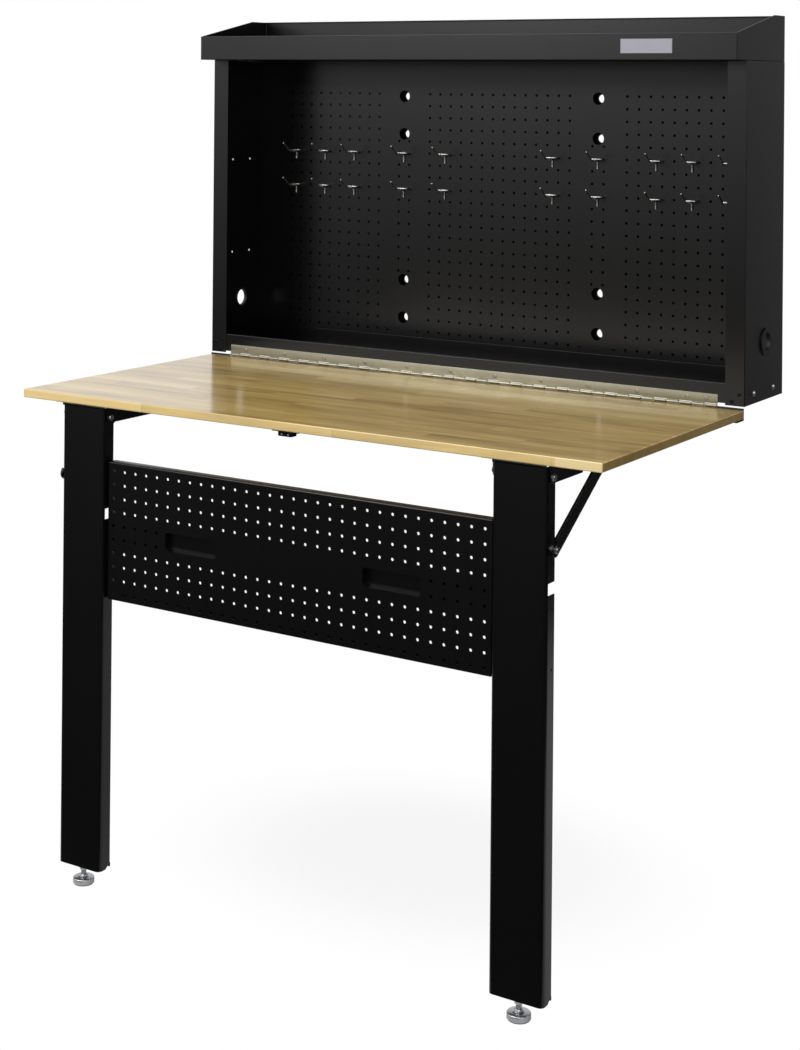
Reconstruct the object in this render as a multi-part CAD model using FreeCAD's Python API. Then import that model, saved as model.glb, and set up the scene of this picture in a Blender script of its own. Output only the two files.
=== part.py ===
"""Wall mounted folding workbench: steel cabinet with tray, folding worktop, folding leg frame.

Frame: X to the right, Y towards the wall, Z up, millimetres. The origin is the middle of the
wall fixing pattern, on the wall plane Y = 0. The bench is modelled open: the worktop is level
and the feet stand on the floor.
"""
import FreeCAD, Part
import math
import os

os.makedirs("parts", exist_ok=True)

# ------------------------------------------------------------------ driving dimensions
bench_width = 1220.0            # cabinet, tray and worktop, along X
sheet = 1.5                     # steel sheet of the cabinet, tray and panels
bend_bevel = 1.0                # its bends are drawn as bevels of this width
running_gap = 0.05              # radial clearance of a pin that turns in a hole
play = 0.5                      # side clearance between parts that move past each other

# worktop
worktop_height = 920.0          # top face above the floor
worktop_depth = 600.0
worktop_thickness = 16.0
worktop_easing = 1.5            # bevel of all edges

# cabinet
cabinet_height = 636.0
cabinet_depth = 195.0
cabinet_gap = 6.0               # worktop face to the lower edge of the cabinet
flange_width = 38.0             # front return of each side panel
rear_flange = 15.0              # rear return of each side panel
lip_height = 37.0               # upstand along the front of the cabinet floor
lip_return = 10.0
floor_rise = 3.0                # cabinet floor above the side panels' lower edge
upstand_height = 42.0           # rear upstand of the cabinet floor
end_tab_height = 26.0           # end tabs of the floor, screwed to the side panels
panel_setback = 20.0            # front face of the perforated panel, from the wall

# tray on top of the cabinet
tray_depth = 245.0
tray_front_height = 50.0
tray_rear_height = 88.0
tray_flat = 55.0                # level stretch of the side walls at the back
tray_hem = 9.0
plate_width = 104.0             # blank plate on the tray front
plate_height = 27.0
plate_thickness = 1.0
plate_end_gap = 126.0           # its end, from the right end of the tray
plate_drop = 24.0               # its centre, below the tray's front edge

# perforation: one pitch for both panels
pitch = 25.4
peg_radius = 3.3
peg_sides = 4                   # each peg hole is cut as a prism with this many sides
peg_column_step = 6             # of the punched pattern, these columns and rows are modelled
peg_row_step = 3
peg_side_margin = 80.0          # upper panel: no hole closer than this to its sides
peg_low_margin = 55.0           # nor to the cabinet's lower edge
peg_top_drop = 70.0             # first peg row below the top of the cabinet
access_radius = 12.7            # screwdriver access holes of the wall fixings
fixing_radius = 8.0             # wall fixing holes
fixing_column = 9               # wall rails lie this many pitches off the middle
fixing_lift = 5.0               # middle of the fixings above the middle of the cabinet
fixing_margin = 80.0            # outer fixings, together, to the cabinet's top and lower edge
fixing_step = 81.0              # outer fixing to the inner one
rail_half_width = 30.0          # wall rail: hat section
rail_flange = 16.0
rail_end_gap = 4.0
rail_hole_radius = 9.5          # its holes clear the wall bolts

# cable outlets and small holes of the side panels
outlet_radius = 21.0
outlet_setback = 90.0           # from the wall
outlet_height = 109.0           # above the lower edge
grommet_bore = 17.0
grommet_rim = 5.0
grommet_thickness = 3.0
large_disc_sides = 24           # outlets, foot pads and leg tops are drawn with this many sides
vent_radius = 2.5
vent_setbacks = (60.0, 124.0)
vent_heights = (212.0, 417.0)   # above the lower edge
side_screw_setbacks = (50.0, 150.0)
side_screw_height = 19.0
flange_screws_at = ((10.4, 22.0), (24.6, 8.0))   # from the side edge, above the lower edge

# piano hinge
hinge_end_gap = 52.0            # hinge to the ends of the bench
hinge_leaf = 1.5
hinge_pin_radius = 1.35
knuckle_count = 7
knuckle_gap = 0.4
upper_leaf_width = 21.0
lower_leaf_width = 18.0
hinge_screw_pitch = 101.6
hinge_screw_inset = 40.0        # first screw, from the left end
hinge_end_inset = 23.0          # last screw, from the right end
edge_angle_thickness = 3.0      # steel angle along the rear edge of the worktop
edge_angle_foot = 30.0
edge_angle_inset = 1.0

# legs
leg_width = 100.0
leg_depth = 31.0
leg_sheet = 2.0
leg_bend_inside = 7.0           # inside radius of the two front corners
leg_side_gap = 98.5             # outer side of the leg, from the end of the bench
leg_setback = 2.0               # leg face behind the worktop's front edge
leg_top_gap = 3.0
foot_height = 35.0              # underside of the leg above the floor
pivot_drop = 21.0               # leg pivot below the worktop
pivot_setback = 18.0            # leg pivot behind the leg face
pivot_radius = 4.0
leg_top_radius = 18.0           # rounding of the flanges around the pivot
notch_height = 20.0
notch_reach = 10.0              # from the pivot line towards the front
fixing_dot_radius = 2.3
fixing_dot_heights = (537.0, 635.0)   # above the leg's lower end

# brackets and stays
bracket_sheet = 2.5
bracket_height = 31.0
bracket_flange = 24.0
bracket_nose = 9.0              # in front of the leg pivot
bracket_tail = 15.0             # beyond the stay pivot
bracket_corner = 8.0
stay_reach = 180.0              # leg pivot to stay pivot, along the worktop
stay_drop = 116.0               # leg pivot to stay stud, down the leg
stay_width = 25.0
stay_thickness = 5.0
stay_mouth = 4.8                # half width of the hook's mouth
stud_collar = 6.0               # radius of the collar that spaces the stay from the leg
collar_relief = 1.5             # gap around the collar where it enters the outer bracket

# lower perforated panel
lower_peg_margin = 12.0         # no hole of the lower panel closer than this to its edges
lower_setback = 12.0            # panel face behind the leg face
lower_top_drop = 118.0          # panel top below the worktop face
lower_height = 258.0
lower_first_row = 17.0          # first row below the panel's top
lower_return = 17.0             # returned flanges, towards the wall
handle_width = 115.0
handle_height = 33.0
handle_corner = 6.0
handle_chords = 3               # each rounded corner is drawn with this many chords
handle_end_gap = 136.5          # from the end of the panel
handle_depth = 12.0
stiffener_height = 56.0
solid_rows = (4, 5)             # the stiffener covers these rows

# feet
pad_radius = 20.0
pad_height = 14.0
pad_bevel = 2.5
pad_neck_radius = 8.5
pad_neck_height = 4.0
stem_radius = 5.0
stem_length = 40.0
cap_thickness = 3.0
cap_overhang = 2.5              # the end cap sticks out behind the leg
cap_rear_height = 19.0
heel_depth = 12.0               # bevel of the leg's lower rear corner
heel_height = 10.0
nut_height = 4.0
foot_nut_radius = 8.5
foot_nut_height = 8.5

# fasteners
bolt_head_height = 3.5
bolt_head_radius = 5.8
washer_thickness = 1.0
washer_radius = 6.8
screw_head_radius = 4.0
screw_head_height = 1.6
screw_radius = 2.0
screw_point = 1.5               # beyond the sheet that it holds

# peg hooks
hook_wire = 2.1                 # wire radius
hook_rows = (5, 8)
hook_columns = (-20, -17, -14, -9, -5, 5, 9, 14, 17, 20)   # pair centres, in pitches
hook_sides = 6                  # the wire is drawn with this many sides
hook_standoff = 11.0
hook_reach = 19.0
hook_tip_run = 25.0
hook_tip_rise = 19.0
hook_stem = 17.0
hook_prong = 9.0

# catch under the front edge
catch_width = 56.0
catch_depth = 22.0
catch_thickness = 2.0
catch_block_width = 29.0
catch_block_height = 8.0        # below its plate
catch_block_depth = 16.0

# ------------------------------------------------------------------ derived places
half_width = bench_width / 2
cabinet_bottom_z = -cabinet_height / 2 - fixing_lift
cabinet_top_z = cabinet_bottom_z + cabinet_height
worktop_top_z = cabinet_bottom_z - cabinet_gap
worktop_under_z = worktop_top_z - worktop_thickness
floor_z = worktop_top_z - worktop_height
outer_fixing_z = cabinet_height / 2 - fixing_margin
inner_fixing_z = outer_fixing_z - fixing_step
cabinet_front_y = -cabinet_depth
lip_front_y = cabinet_front_y + sheet
floor_under_z = cabinet_bottom_z + floor_rise
panel_front_y = -panel_setback
panel_back_y = panel_front_y + sheet
side_inner_x = half_width - sheet
plate_centre_x = half_width - plate_end_gap - plate_width / 2

hinge_length = bench_width - 2 * hinge_end_gap
knuckle_radius = hinge_pin_radius + running_gap + hinge_leaf
hinge_y = lip_front_y - knuckle_radius
hinge_z = worktop_top_z + knuckle_radius + play
leaf_front_y = lip_front_y - hinge_leaf
worktop_rear_y = leaf_front_y - edge_angle_thickness
worktop_front_y = worktop_rear_y - worktop_depth

leg_spread = half_width - leg_side_gap - leg_width / 2     # leg centre from the middle
leg_front_y = worktop_front_y + leg_setback
leg_rear_y = leg_front_y + leg_depth
leg_bottom_z = floor_z + foot_height
pivot_y = leg_front_y + pivot_setback
pivot_z = worktop_under_z - pivot_drop
stay_pivot_y = pivot_y + stay_reach
stud_z = pivot_z - stay_drop
leg_top_z = worktop_under_z - leg_top_gap
leg_outer = leg_width / 2
cheek_x = leg_outer + play                  # inner face of a bracket, from the leg centre
stay_x = cheek_x + bracket_sheet + play     # inner face of the stay, from the leg centre
lower_front_y = leg_front_y + lower_setback
lower_back_y = lower_front_y + sheet
lower_top_z = worktop_top_z - lower_top_drop
lower_bottom_z = lower_top_z - lower_height
lower_half = leg_spread - stay_x            # the panel passes between the inner brackets
handle_x = lower_half - handle_end_gap - handle_width / 2
stiffener_z = lower_top_z - lower_first_row - pitch * sum(solid_rows) / len(solid_rows)
X_AXIS = FreeCAD.Vector(1, 0, 0)
Y_AXIS = FreeCAD.Vector(0, 1, 0)
Z_AXIS = FreeCAD.Vector(0, 0, 1)


# ------------------------------------------------------------------ helpers
def box(x0, x1, y0, y1, z0, z1):
    """A block between two corners."""
    return Part.makeBox(x1 - x0, y1 - y0, z1 - z0, FreeCAD.Vector(x0, y0, z0))


def rod(radius, start, direction, length):
    """A round bar that starts at a point and runs along a direction."""
    return Part.makeCylinder(radius, length, FreeCAD.Vector(*start), direction)


def disc(radius, start, direction, length, sides=12):
    """A washer, collar, rim or hole drawn with flat sides; radius is to the corners."""
    first = Z_AXIS if abs(direction.z) < play else X_AXIS
    corners = ring_points(radius, sides, FreeCAD.Vector(*start), first, direction.cross(first))
    return prism(corners, direction * length)


def prism(points, direction):
    """A closed polygon of points, extruded by a vector."""
    corners = [FreeCAD.Vector(*p) for p in points]
    return Part.Face(Part.makePolygon(corners + corners[:1])).extrude(direction)


def ring_points(radius, sides, centre, first, second):
    """Corners of a regular polygon in the plane of two unit vectors."""
    corners = []
    for step in range(sides):
        turn = 2 * math.pi * step / sides
        corners.append(centre + first * (radius * math.cos(turn)) + second * (radius * math.sin(turn)))
    return corners


def hexagon(radius, start, direction, length):
    """A hexagonal bar along a direction; radius is to the corners."""
    return disc(radius, start, direction, length, 6)


def folded(path, thickness, direction, inside=0.0):
    """Sheet folded along an open path, then extruded; its thickness lies left of the path.

    The bends are rounded where an inside radius is given, and otherwise bevelled.
    """
    points = [FreeCAD.Vector(*p) for p in path]
    along = FreeCAD.Vector(direction).normalize()
    sides = [along.cross((b - a).normalize()) for a, b in zip(points, points[1:])]
    joined = [(m + n) * (1 / (1 + m.dot(n))) for m, n in zip(sides, sides[1:])]
    offsets = [sides[0]] + joined + [sides[-1]]
    other = [point + offset * thickness for point, offset in zip(points, offsets)]
    sheet_solid = prism(points + other[::-1], direction)
    for index in range(1, len(points) - 1):
        turn = sides[index - 1].cross(sides[index]).dot(along) * thickness
        inner, outer = points[index], other[index]
        if turn > 0:
            inner, outer = outer, inner
        if inside:
            sheet_solid = sheet_solid.makeFillet(inside, edges_at(sheet_solid, inner + direction * 0.5))
            outer_edges = edges_at(sheet_solid, outer + direction * 0.5)
            sheet_solid = sheet_solid.makeFillet(inside + abs(thickness), outer_edges)
        else:
            sheet_solid = sheet_solid.makeChamfer(bend_bevel, edges_at(sheet_solid, outer + direction * 0.5))
    return sheet_solid


def edges_at(shape, middle):
    """The edges of a shape whose middle is at a point."""
    return [e for e in shape.Edges if (e.CenterOfMass - middle).Length < running_gap]


def fuse(shapes):
    """One solid from shapes that touch or overlap."""
    return shapes[0].multiFuse(shapes[1:]).removeSplitter()


def mirrored(shape):
    """The same piece on the other side of the bench."""
    return shape.mirror(FreeCAD.Vector(0, 0, 0), X_AXIS)


def pair(right_piece):
    """The left and right copies of a right hand piece, as one node."""
    return Part.makeCompound([mirrored(right_piece), right_piece])


def perforated(outline, wires, face_y):
    """A flat sheet with holes, extruded from its front face towards the wall."""
    x0, x1, z0, z1 = outline
    corners = [(x0, face_y, z0), (x1, face_y, z0), (x1, face_y, z1), (x0, face_y, z1)]
    border = Part.makePolygon([FreeCAD.Vector(*c) for c in corners + corners[:1]])
    return Part.Face([border] + wires, "Part::FaceMakerBullseye").extrude(Y_AXIS * sheet)


def peg_wire(x, y, z):
    """Outline of one peg hole in a sheet that faces along Y."""
    corners = ring_points(peg_radius, peg_sides, FreeCAD.Vector(x, y, z), X_AXIS, Z_AXIS)
    return Part.makePolygon(corners + corners[:1])


def circle_wire(x, y, z, radius):
    """A round outline in a sheet that faces along Y."""
    return Part.Wire(Part.makeCircle(radius, FreeCAD.Vector(x, y, z), Y_AXIS))


def column_x(column):
    """X of a column of peg holes; columns 0, 1, 2 lie right of the middle and -1, -2 left."""
    return (column + 0.5) * pitch


def punched_columns(room):
    """Columns of the modelled pattern within a width on both sides of the middle."""
    right = range(0, int(room / pitch + 0.5), peg_column_step)
    return [column for near in right for column in (near, -1 - near)]


def row_count(room):
    """Rows of peg holes in a height, counted from the first row."""
    return int(room / pitch) + 1


def screw(face, direction, grip):
    """A screw with a low hexagonal head on a face; direction points into the sheet."""
    start = FreeCAD.Vector(*face)
    head = hexagon(screw_head_radius, start - direction * screw_head_height, direction, screw_head_height)
    return head.fuse(hexagon(screw_radius, start, direction, grip + screw_point))


def screw_hole(face, direction, depth):
    """The clearance cut for a screw's shank, from just outside a face."""
    start = FreeCAD.Vector(*face) - direction * play
    return hexagon(screw_radius, start, direction, depth + 2 * play)


# ------------------------------------------------------------------ cabinet
def flange_screw_places():
    """Places of the two dark screws in the lower corner of the left flange."""
    return [(inset - half_width, cabinet_bottom_z + height) for inset, height in flange_screws_at]


def side_screw_places():
    """Places of the two bright screws low on the left side."""
    z = cabinet_bottom_z + side_screw_height
    return [(-half_width, -setback, z) for setback in side_screw_setbacks]


def side_panel():
    """Left side panel: front return flange, rear flange, cable outlet and small holes."""
    rear_y = -sheet
    path = [(-half_width + rear_flange, rear_y, cabinet_bottom_z), (-half_width, rear_y, cabinet_bottom_z),
            (-half_width, cabinet_front_y, cabinet_bottom_z),
            (-half_width + flange_width, cabinet_front_y, cabinet_bottom_z)]
    cuts = [disc(outlet_radius, outlet_centre(), X_AXIS, 2 * sheet, large_disc_sides)]
    for setback in vent_setbacks:
        for height in vent_heights:
            start = (-half_width - play, -setback, cabinet_bottom_z + height)
            cuts.append(hexagon(vent_radius, start, X_AXIS, 2 * sheet))
    cuts += [screw_hole(place, X_AXIS, sheet) for place in side_screw_places()]
    cuts += [screw_hole((x, cabinet_front_y, z), Y_AXIS, sheet) for x, z in flange_screw_places()]
    return folded(path, sheet, Z_AXIS * cabinet_height).cut(cuts)


def outlet_centre():
    """A point on the left cable outlet's axis, just outside the side panel."""
    return (-half_width - play, -outlet_setback, cabinet_bottom_z + outlet_height)


def bottom_panel():
    """Cabinet floor with its front lip, rear upstand and end tabs."""
    lip_top_z = floor_under_z + lip_height
    x0 = -side_inner_x
    path = [(x0, lip_front_y + lip_return, lip_top_z), (x0, lip_front_y, lip_top_z),
            (x0, lip_front_y, floor_under_z), (x0, panel_back_y, floor_under_z),
            (x0, panel_back_y, floor_under_z + upstand_height)]
    tab = box(x0, x0 + sheet, lip_front_y + lip_return + sheet, panel_front_y - 2 * sheet,
              floor_under_z + sheet, floor_under_z + end_tab_height)
    panel = fuse([folded(path, sheet, X_AXIS * 2 * side_inner_x), tab, mirrored(tab)])
    cuts = [screw_hole((x0, y, z), X_AXIS, sheet) for _, y, z in side_screw_places()]
    cuts += [screw_hole((x, lip_front_y, z), Y_AXIS, sheet) for x, z in flange_screw_places()]
    cuts += [mirrored(cut) for cut in cuts]
    cuts += [screw_hole((x, lip_front_y, upper_screw_z()), Y_AXIS, sheet) for x in hinge_screw_xs()]
    return panel.cut(cuts)


def top_tray():
    """Open tray: one folded pan with sloping side walls and hemmed front and rear edges."""
    front_y = -tray_depth
    z0 = cabinet_top_z
    outline = [(-half_width, front_y, z0), (-half_width, front_y, z0 + tray_front_height),
               (-half_width, -tray_flat, z0 + tray_rear_height), (-half_width, 0, z0 + tray_rear_height),
               (-half_width, 0, z0)]
    outer = prism(outline, X_AXIS * bench_width)
    outer = outer.makeChamfer(bend_bevel, [e for e in outer.Edges if is_pan_bend(e, z0)])
    well_z = z0 + sheet
    well = box(-side_inner_x, side_inner_x, front_y + sheet, -sheet, well_z, z0 + 2 * tray_rear_height)
    well = well.makeChamfer(bend_bevel / 2, [e for e in well.Edges if is_pan_bend(e, well_z)])
    hem_x = side_inner_x - bend_bevel
    front_top = z0 + tray_front_height
    front_hem = box(-hem_x, hem_x, front_y + sheet, front_y + tray_hem, front_top - sheet, front_top)
    rear_top = z0 + tray_rear_height
    rear_hem = box(-hem_x, hem_x, -tray_hem, -sheet, rear_top - sheet, rear_top)
    return fuse([outer.cut(well), front_hem, rear_hem])


def is_pan_bend(edge, base_z):
    """Whether an edge of a pan shaped block is folded: around its floor, or an upright corner."""
    bounds = edge.BoundBox
    upright = bounds.ZLength > play and bounds.YLength < play
    return bounds.ZMax < base_z + running_gap or upright


def blank_plate():
    """A plain plate on the tray front."""
    z = cabinet_top_z + tray_front_height - plate_drop
    return box(plate_centre_x - plate_width / 2, plate_centre_x + plate_width / 2,
               -tray_depth - plate_thickness, -tray_depth, z - plate_height / 2, z + plate_height / 2)


def rail_centre_x():
    """The wall rails' distance from the middle of the bench."""
    return fixing_column * pitch


def upper_row_z(row):
    """Z of a row of peg holes of the upper panel."""
    return cabinet_top_z - peg_top_drop - row * pitch


def upper_rows():
    """Number of rows of peg holes of the upper panel."""
    return row_count(cabinet_height - peg_top_drop - peg_low_margin)


def upper_peg_places():
    """Modelled peg holes of the upper panel, with each pair that holds a hook."""
    places = set()
    for column in punched_columns(half_width - peg_side_margin):
        from_rail = abs(abs(column_x(column)) - rail_centre_x())
        beside_screws = pitch < from_rail < 2 * pitch
        for row in range(min(hook_rows) % peg_row_step, upper_rows(), peg_row_step):
            beside_access = from_rail < pitch and abs(upper_row_z(row)) > inner_fixing_z - pitch
            if not beside_access and not beside_screws:
                places.add((column, row))
    for centre in hook_columns:
        places.update((column, row) for column in (centre - 1, centre) for row in hook_rows)
    return [(column_x(column), upper_row_z(row)) for column, row in sorted(places)]


def fixing_places():
    """Centres of the eight wall fixings."""
    heights = (outer_fixing_z, inner_fixing_z)
    return [(sx * rail_centre_x(), sz * h) for sx in (-1, 1) for sz in (-1, 1) for h in heights]


def panel_screw_places():
    """Screws that hold the tool panel to the flanges of the wall rails."""
    z = upper_row_z(upper_rows() - 1)
    offset = rail_half_width + rail_flange / 2
    return [(side * rail_centre_x() + shift, z) for side in (-1, 1) for shift in (-offset, offset)]


def perforated_back_panel():
    """Tool panel with peg holes, access holes and its screw holes."""
    wires = [peg_wire(x, panel_front_y, z) for x, z in upper_peg_places()]
    lower_z = floor_under_z + upstand_height + play
    panel = perforated((-side_inner_x, side_inner_x, lower_z, cabinet_top_z), wires, panel_front_y)
    cuts = [disc(access_radius, (x, panel_front_y - play, z), Y_AXIS, 2 * sheet) for x, z in fixing_places()]
    cuts += [screw_hole((x, panel_front_y, z), Y_AXIS, sheet) for x, z in panel_screw_places()]
    return panel.cut(cuts)


def back_plate():
    """Closed back of the cabinet, with the wall fixing holes."""
    wires = [circle_wire(x, -sheet, z, fixing_radius) for x, z in fixing_places()]
    return perforated((-half_width, half_width, cabinet_bottom_z, cabinet_top_z), wires, -sheet)


def wall_rail():
    """Right hat section rail between the back plate and the tool panel."""
    z0 = floor_under_z + upstand_height + rail_end_gap
    centre, half = rail_centre_x(), rail_half_width
    web_y = -2 * sheet
    path = [(centre - half - rail_flange, panel_back_y, z0), (centre - half, panel_back_y, z0),
            (centre - half, web_y, z0), (centre + half, web_y, z0),
            (centre + half, panel_back_y, z0), (centre + half + rail_flange, panel_back_y, z0)]
    cuts = [hexagon(rail_hole_radius, (x, web_y - play, z), Y_AXIS, 2 * sheet) for x, z in fixing_places()]
    cuts += [screw_hole((x, panel_back_y, z), Y_AXIS, sheet) for x, z in panel_screw_places()]
    return folded(path, sheet, Z_AXIS * (cabinet_top_z - rail_end_gap - z0)).cut(cuts)


def cable_grommet():
    """Left rubber grommet, snapped through the side panel."""
    _, y, z = outlet_centre()
    length = 2 * grommet_thickness + sheet
    body = fuse([disc(outlet_radius + grommet_rim, (-half_width - grommet_thickness, y, z), X_AXIS,
                      grommet_thickness, large_disc_sides),
                 disc(outlet_radius - running_gap, (-half_width, y, z), X_AXIS, sheet, large_disc_sides),
                 disc(outlet_radius + grommet_rim / 2, (-side_inner_x, y, z), X_AXIS, grommet_thickness,
                      large_disc_sides)])
    return body.cut(rod(grommet_bore, (-half_width - grommet_thickness, y, z), X_AXIS, length))


def wire_run(points):
    """Wire of the peg hooks, swept along a path with mitred corners."""
    spine = [FreeCAD.Vector(*p) for p in points]
    other = (spine[1] - spine[0]).normalize().cross(X_AXIS)
    corners = ring_points(hook_wire, hook_sides, spine[0], X_AXIS, other)
    section = Part.makePolygon(corners + corners[:1])
    return Part.makePolygon(spine).makePipeShell([section], True, False, 1)


def hook(x, z):
    """A two prong peg hook: loop through two holes, stem against the panel, upturned arm."""
    front = panel_front_y - hook_standoff
    back = panel_back_y + hook_prong
    half = pitch / 2
    loop = wire_run([(x - half, back, z), (x - half, front, z), (x + half, front, z), (x + half, back, z)])
    under = z - 1.5 * hook_wire
    stem_y = panel_front_y - hook_wire * math.cos(math.pi / hook_sides)
    arm_y = front - hook_reach
    arm = wire_run([(x, stem_y, under - hook_stem), (x, stem_y, under), (x, arm_y, under),
                    (x, arm_y - hook_tip_run, under + hook_tip_rise)])
    return fuse([loop, arm])


def hook_row(row):
    """All hooks of one row of holes."""
    return Part.makeCompound([hook(centre * pitch, upper_row_z(row)) for centre in hook_columns])


def cabinet_side_screws():
    """Bright screws low on the cabinet's sides, through the floor's end tabs."""
    screws = [screw(place, X_AXIS, 2 * sheet) for place in side_screw_places()]
    return Part.makeCompound(screws + [mirrored(s) for s in screws])


def cabinet_flange_screws():
    """Dark screws in the lower corners of the front flanges."""
    screws = [screw((x, cabinet_front_y, z), Y_AXIS, 2 * sheet) for x, z in flange_screw_places()]
    return Part.makeCompound(screws + [mirrored(s) for s in screws])


def tool_panel_screws():
    """Bright screws near the lower edge of the tool panel."""
    screws = [screw((x, panel_front_y, z), Y_AXIS, 2 * sheet) for x, z in panel_screw_places()]
    return Part.makeCompound(screws)


# ------------------------------------------------------------------ piano hinge
def hinge_screw_xs():
    """X places of the screws along the hinge: an even row, and one close to the right end."""
    first = hinge_screw_inset - hinge_length / 2
    count = int((hinge_length - hinge_screw_inset - hinge_end_inset) / hinge_screw_pitch) + 1
    row = [first + index * hinge_screw_pitch for index in range(count)]
    return row + [hinge_length / 2 - hinge_end_inset]


def upper_screw_z():
    """Height of the screws in the upper leaf."""
    return hinge_z + (knuckle_radius + upper_leaf_width) / 2


def hinge_half(first_knuckle, side, width, bore):
    """One leaf with every second knuckle, bored for the pin; side is 1 for up and -1 for down."""
    start = -hinge_length / 2
    step = hinge_length / knuckle_count
    near_z = hinge_z + side * (knuckle_radius + play)
    far_z = hinge_z + side * width
    pieces = [box(start, -start, leaf_front_y, lip_front_y, min(near_z, far_z), max(near_z, far_z))]
    for index in range(first_knuckle, knuckle_count, 2):
        x0 = start + index * step + knuckle_gap / 2
        x1 = x0 + step - knuckle_gap
        pieces.append(disc(knuckle_radius, (x0, hinge_y, hinge_z), X_AXIS, x1 - x0))
        pieces.append(box(x0, x1, leaf_front_y, lip_front_y, min(hinge_z, near_z), max(hinge_z, near_z)))
    return fuse(pieces).cut(rod(bore, (start, hinge_y, hinge_z), X_AXIS, hinge_length))


def hinge_cabinet_leaf():
    """Upper leaf, screwed to the cabinet's lip; its knuckles grip the pin."""
    leaf = hinge_half(0, 1, upper_leaf_width, hinge_pin_radius)
    z = upper_screw_z()
    return leaf.cut([screw_hole((x, leaf_front_y, z), Y_AXIS, hinge_leaf) for x in hinge_screw_xs()])


def hinge_worktop_leaf():
    """Lower leaf, welded to the worktop's rear edge angle; its knuckles turn on the pin."""
    return hinge_half(1, -1, lower_leaf_width, hinge_pin_radius + running_gap)


def hinge_pin():
    """Pin through all knuckles."""
    return rod(hinge_pin_radius, (-hinge_length / 2, hinge_y, hinge_z), X_AXIS, hinge_length)


def hinge_cabinet_screws():
    """Screws of the upper leaf."""
    z, grip = upper_screw_z(), hinge_leaf + sheet
    return Part.makeCompound([screw((x, leaf_front_y, z), Y_AXIS, grip) for x in hinge_screw_xs()])


# ------------------------------------------------------------------ worktop
def worktop_board():
    """Wooden board with eased edges."""
    board = box(-half_width, half_width, worktop_front_y, worktop_rear_y, worktop_under_z, worktop_top_z)
    return board.makeChamfer(worktop_easing, board.Edges)


def rear_edge_angle():
    """Steel angle that stiffens the worktop's rear edge and carries the hinge."""
    x0 = -half_width + edge_angle_inset
    low_z = worktop_under_z - edge_angle_thickness
    path = [(x0, leaf_front_y, worktop_top_z - play), (x0, leaf_front_y, low_z),
            (x0, worktop_rear_y - edge_angle_foot, low_z)]
    return folded(path, -edge_angle_thickness, X_AXIS * -2 * x0)


def bracket(relieved):
    """Right outer bracket: a cheek beside the leg and a flange under the board.

    A relieved one has a slot in its lower edge, which the stay's stud enters when the legs fold.
    """
    y0, y1 = pivot_y - bracket_nose, stay_pivot_y + bracket_tail
    low_z, inner_x = worktop_under_z - bracket_height, leg_spread + cheek_x
    path = [(inner_x, y0, low_z), (inner_x, y0, worktop_under_z),
            (inner_x + bracket_flange, y0, worktop_under_z)]
    piece = folded(path, bracket_sheet, Y_AXIS * (y1 - y0))
    lower_corners = [e for e in piece.Edges if e.BoundBox.ZMax < low_z + play and e.BoundBox.XLength > play]
    piece = piece.makeFillet(bracket_corner, lower_corners)
    cuts = [rod(pivot_radius, (inner_x - play, y, pivot_z), X_AXIS, bracket_sheet + 2 * play)
            for y in (pivot_y, stay_pivot_y)]
    if relieved:
        half = stud_collar + collar_relief
        stud_y = pivot_y + stay_drop
        cuts.append(box(inner_x - play, inner_x + bracket_sheet + play, stud_y - half, stud_y + half,
                        low_z - play, pivot_z))
        cuts.append(disc(half, (inner_x - play, stud_y, pivot_z), X_AXIS, bracket_sheet + 2 * play))
    return piece.cut(cuts)


def inner_side(outer_piece):
    """The same piece on the inner side of the right leg."""
    return outer_piece.mirror(FreeCAD.Vector(leg_spread, 0, 0), X_AXIS)


def leg_pivot_bolt():
    """Right bolt through the brackets and the leg, with its washer."""
    face = leg_spread + cheek_x + bracket_sheet
    washer = disc(washer_radius, (face, pivot_y, pivot_z), X_AXIS, washer_thickness)
    head = hexagon(bolt_head_radius, (face + washer_thickness, pivot_y, pivot_z), X_AXIS, bolt_head_height)
    length = 2 * (cheek_x + bracket_sheet) + nut_height
    return fuse([washer, head, rod(pivot_radius, (face - length, pivot_y, pivot_z), X_AXIS, length)])


def leg_pivot_nut():
    """Right nut on the inner end of the leg bolt."""
    start = (leg_spread - cheek_x - bracket_sheet - nut_height, pivot_y, pivot_z)
    nut = hexagon(bolt_head_radius, start, X_AXIS, nut_height)
    return nut.cut(rod(pivot_radius, start, X_AXIS, nut_height))


def stay_pivot_bolt():
    """Right cross bolt through both brackets, flush inside, which carries the stay outside."""
    head_x = leg_spread + stay_x + stay_thickness + play / 2
    inner_x = leg_spread - cheek_x - bracket_sheet
    head = hexagon(bolt_head_radius, (head_x, stay_pivot_y, pivot_z), X_AXIS, bolt_head_height)
    return head.fuse(rod(pivot_radius, (inner_x, stay_pivot_y, pivot_z), X_AXIS, head_x - inner_x))


def front_catch():
    """Small catch under the middle of the front edge: a plate with two ears and a block below it."""
    y0, plate_z = worktop_front_y + 2 * leg_setback, worktop_under_z - catch_thickness
    plate = box(-catch_width / 2, catch_width / 2, y0, y0 + catch_depth, plate_z, worktop_under_z)
    block = box(-catch_block_width / 2, catch_block_width / 2, y0, y0 + catch_block_depth,
                plate_z - catch_block_height, plate_z)
    lower_edges = [e for e in block.Edges if e.BoundBox.ZMax < plate_z - catch_block_height + running_gap]
    return fuse([plate, block.makeChamfer(bend_bevel, lower_edges)])


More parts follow.
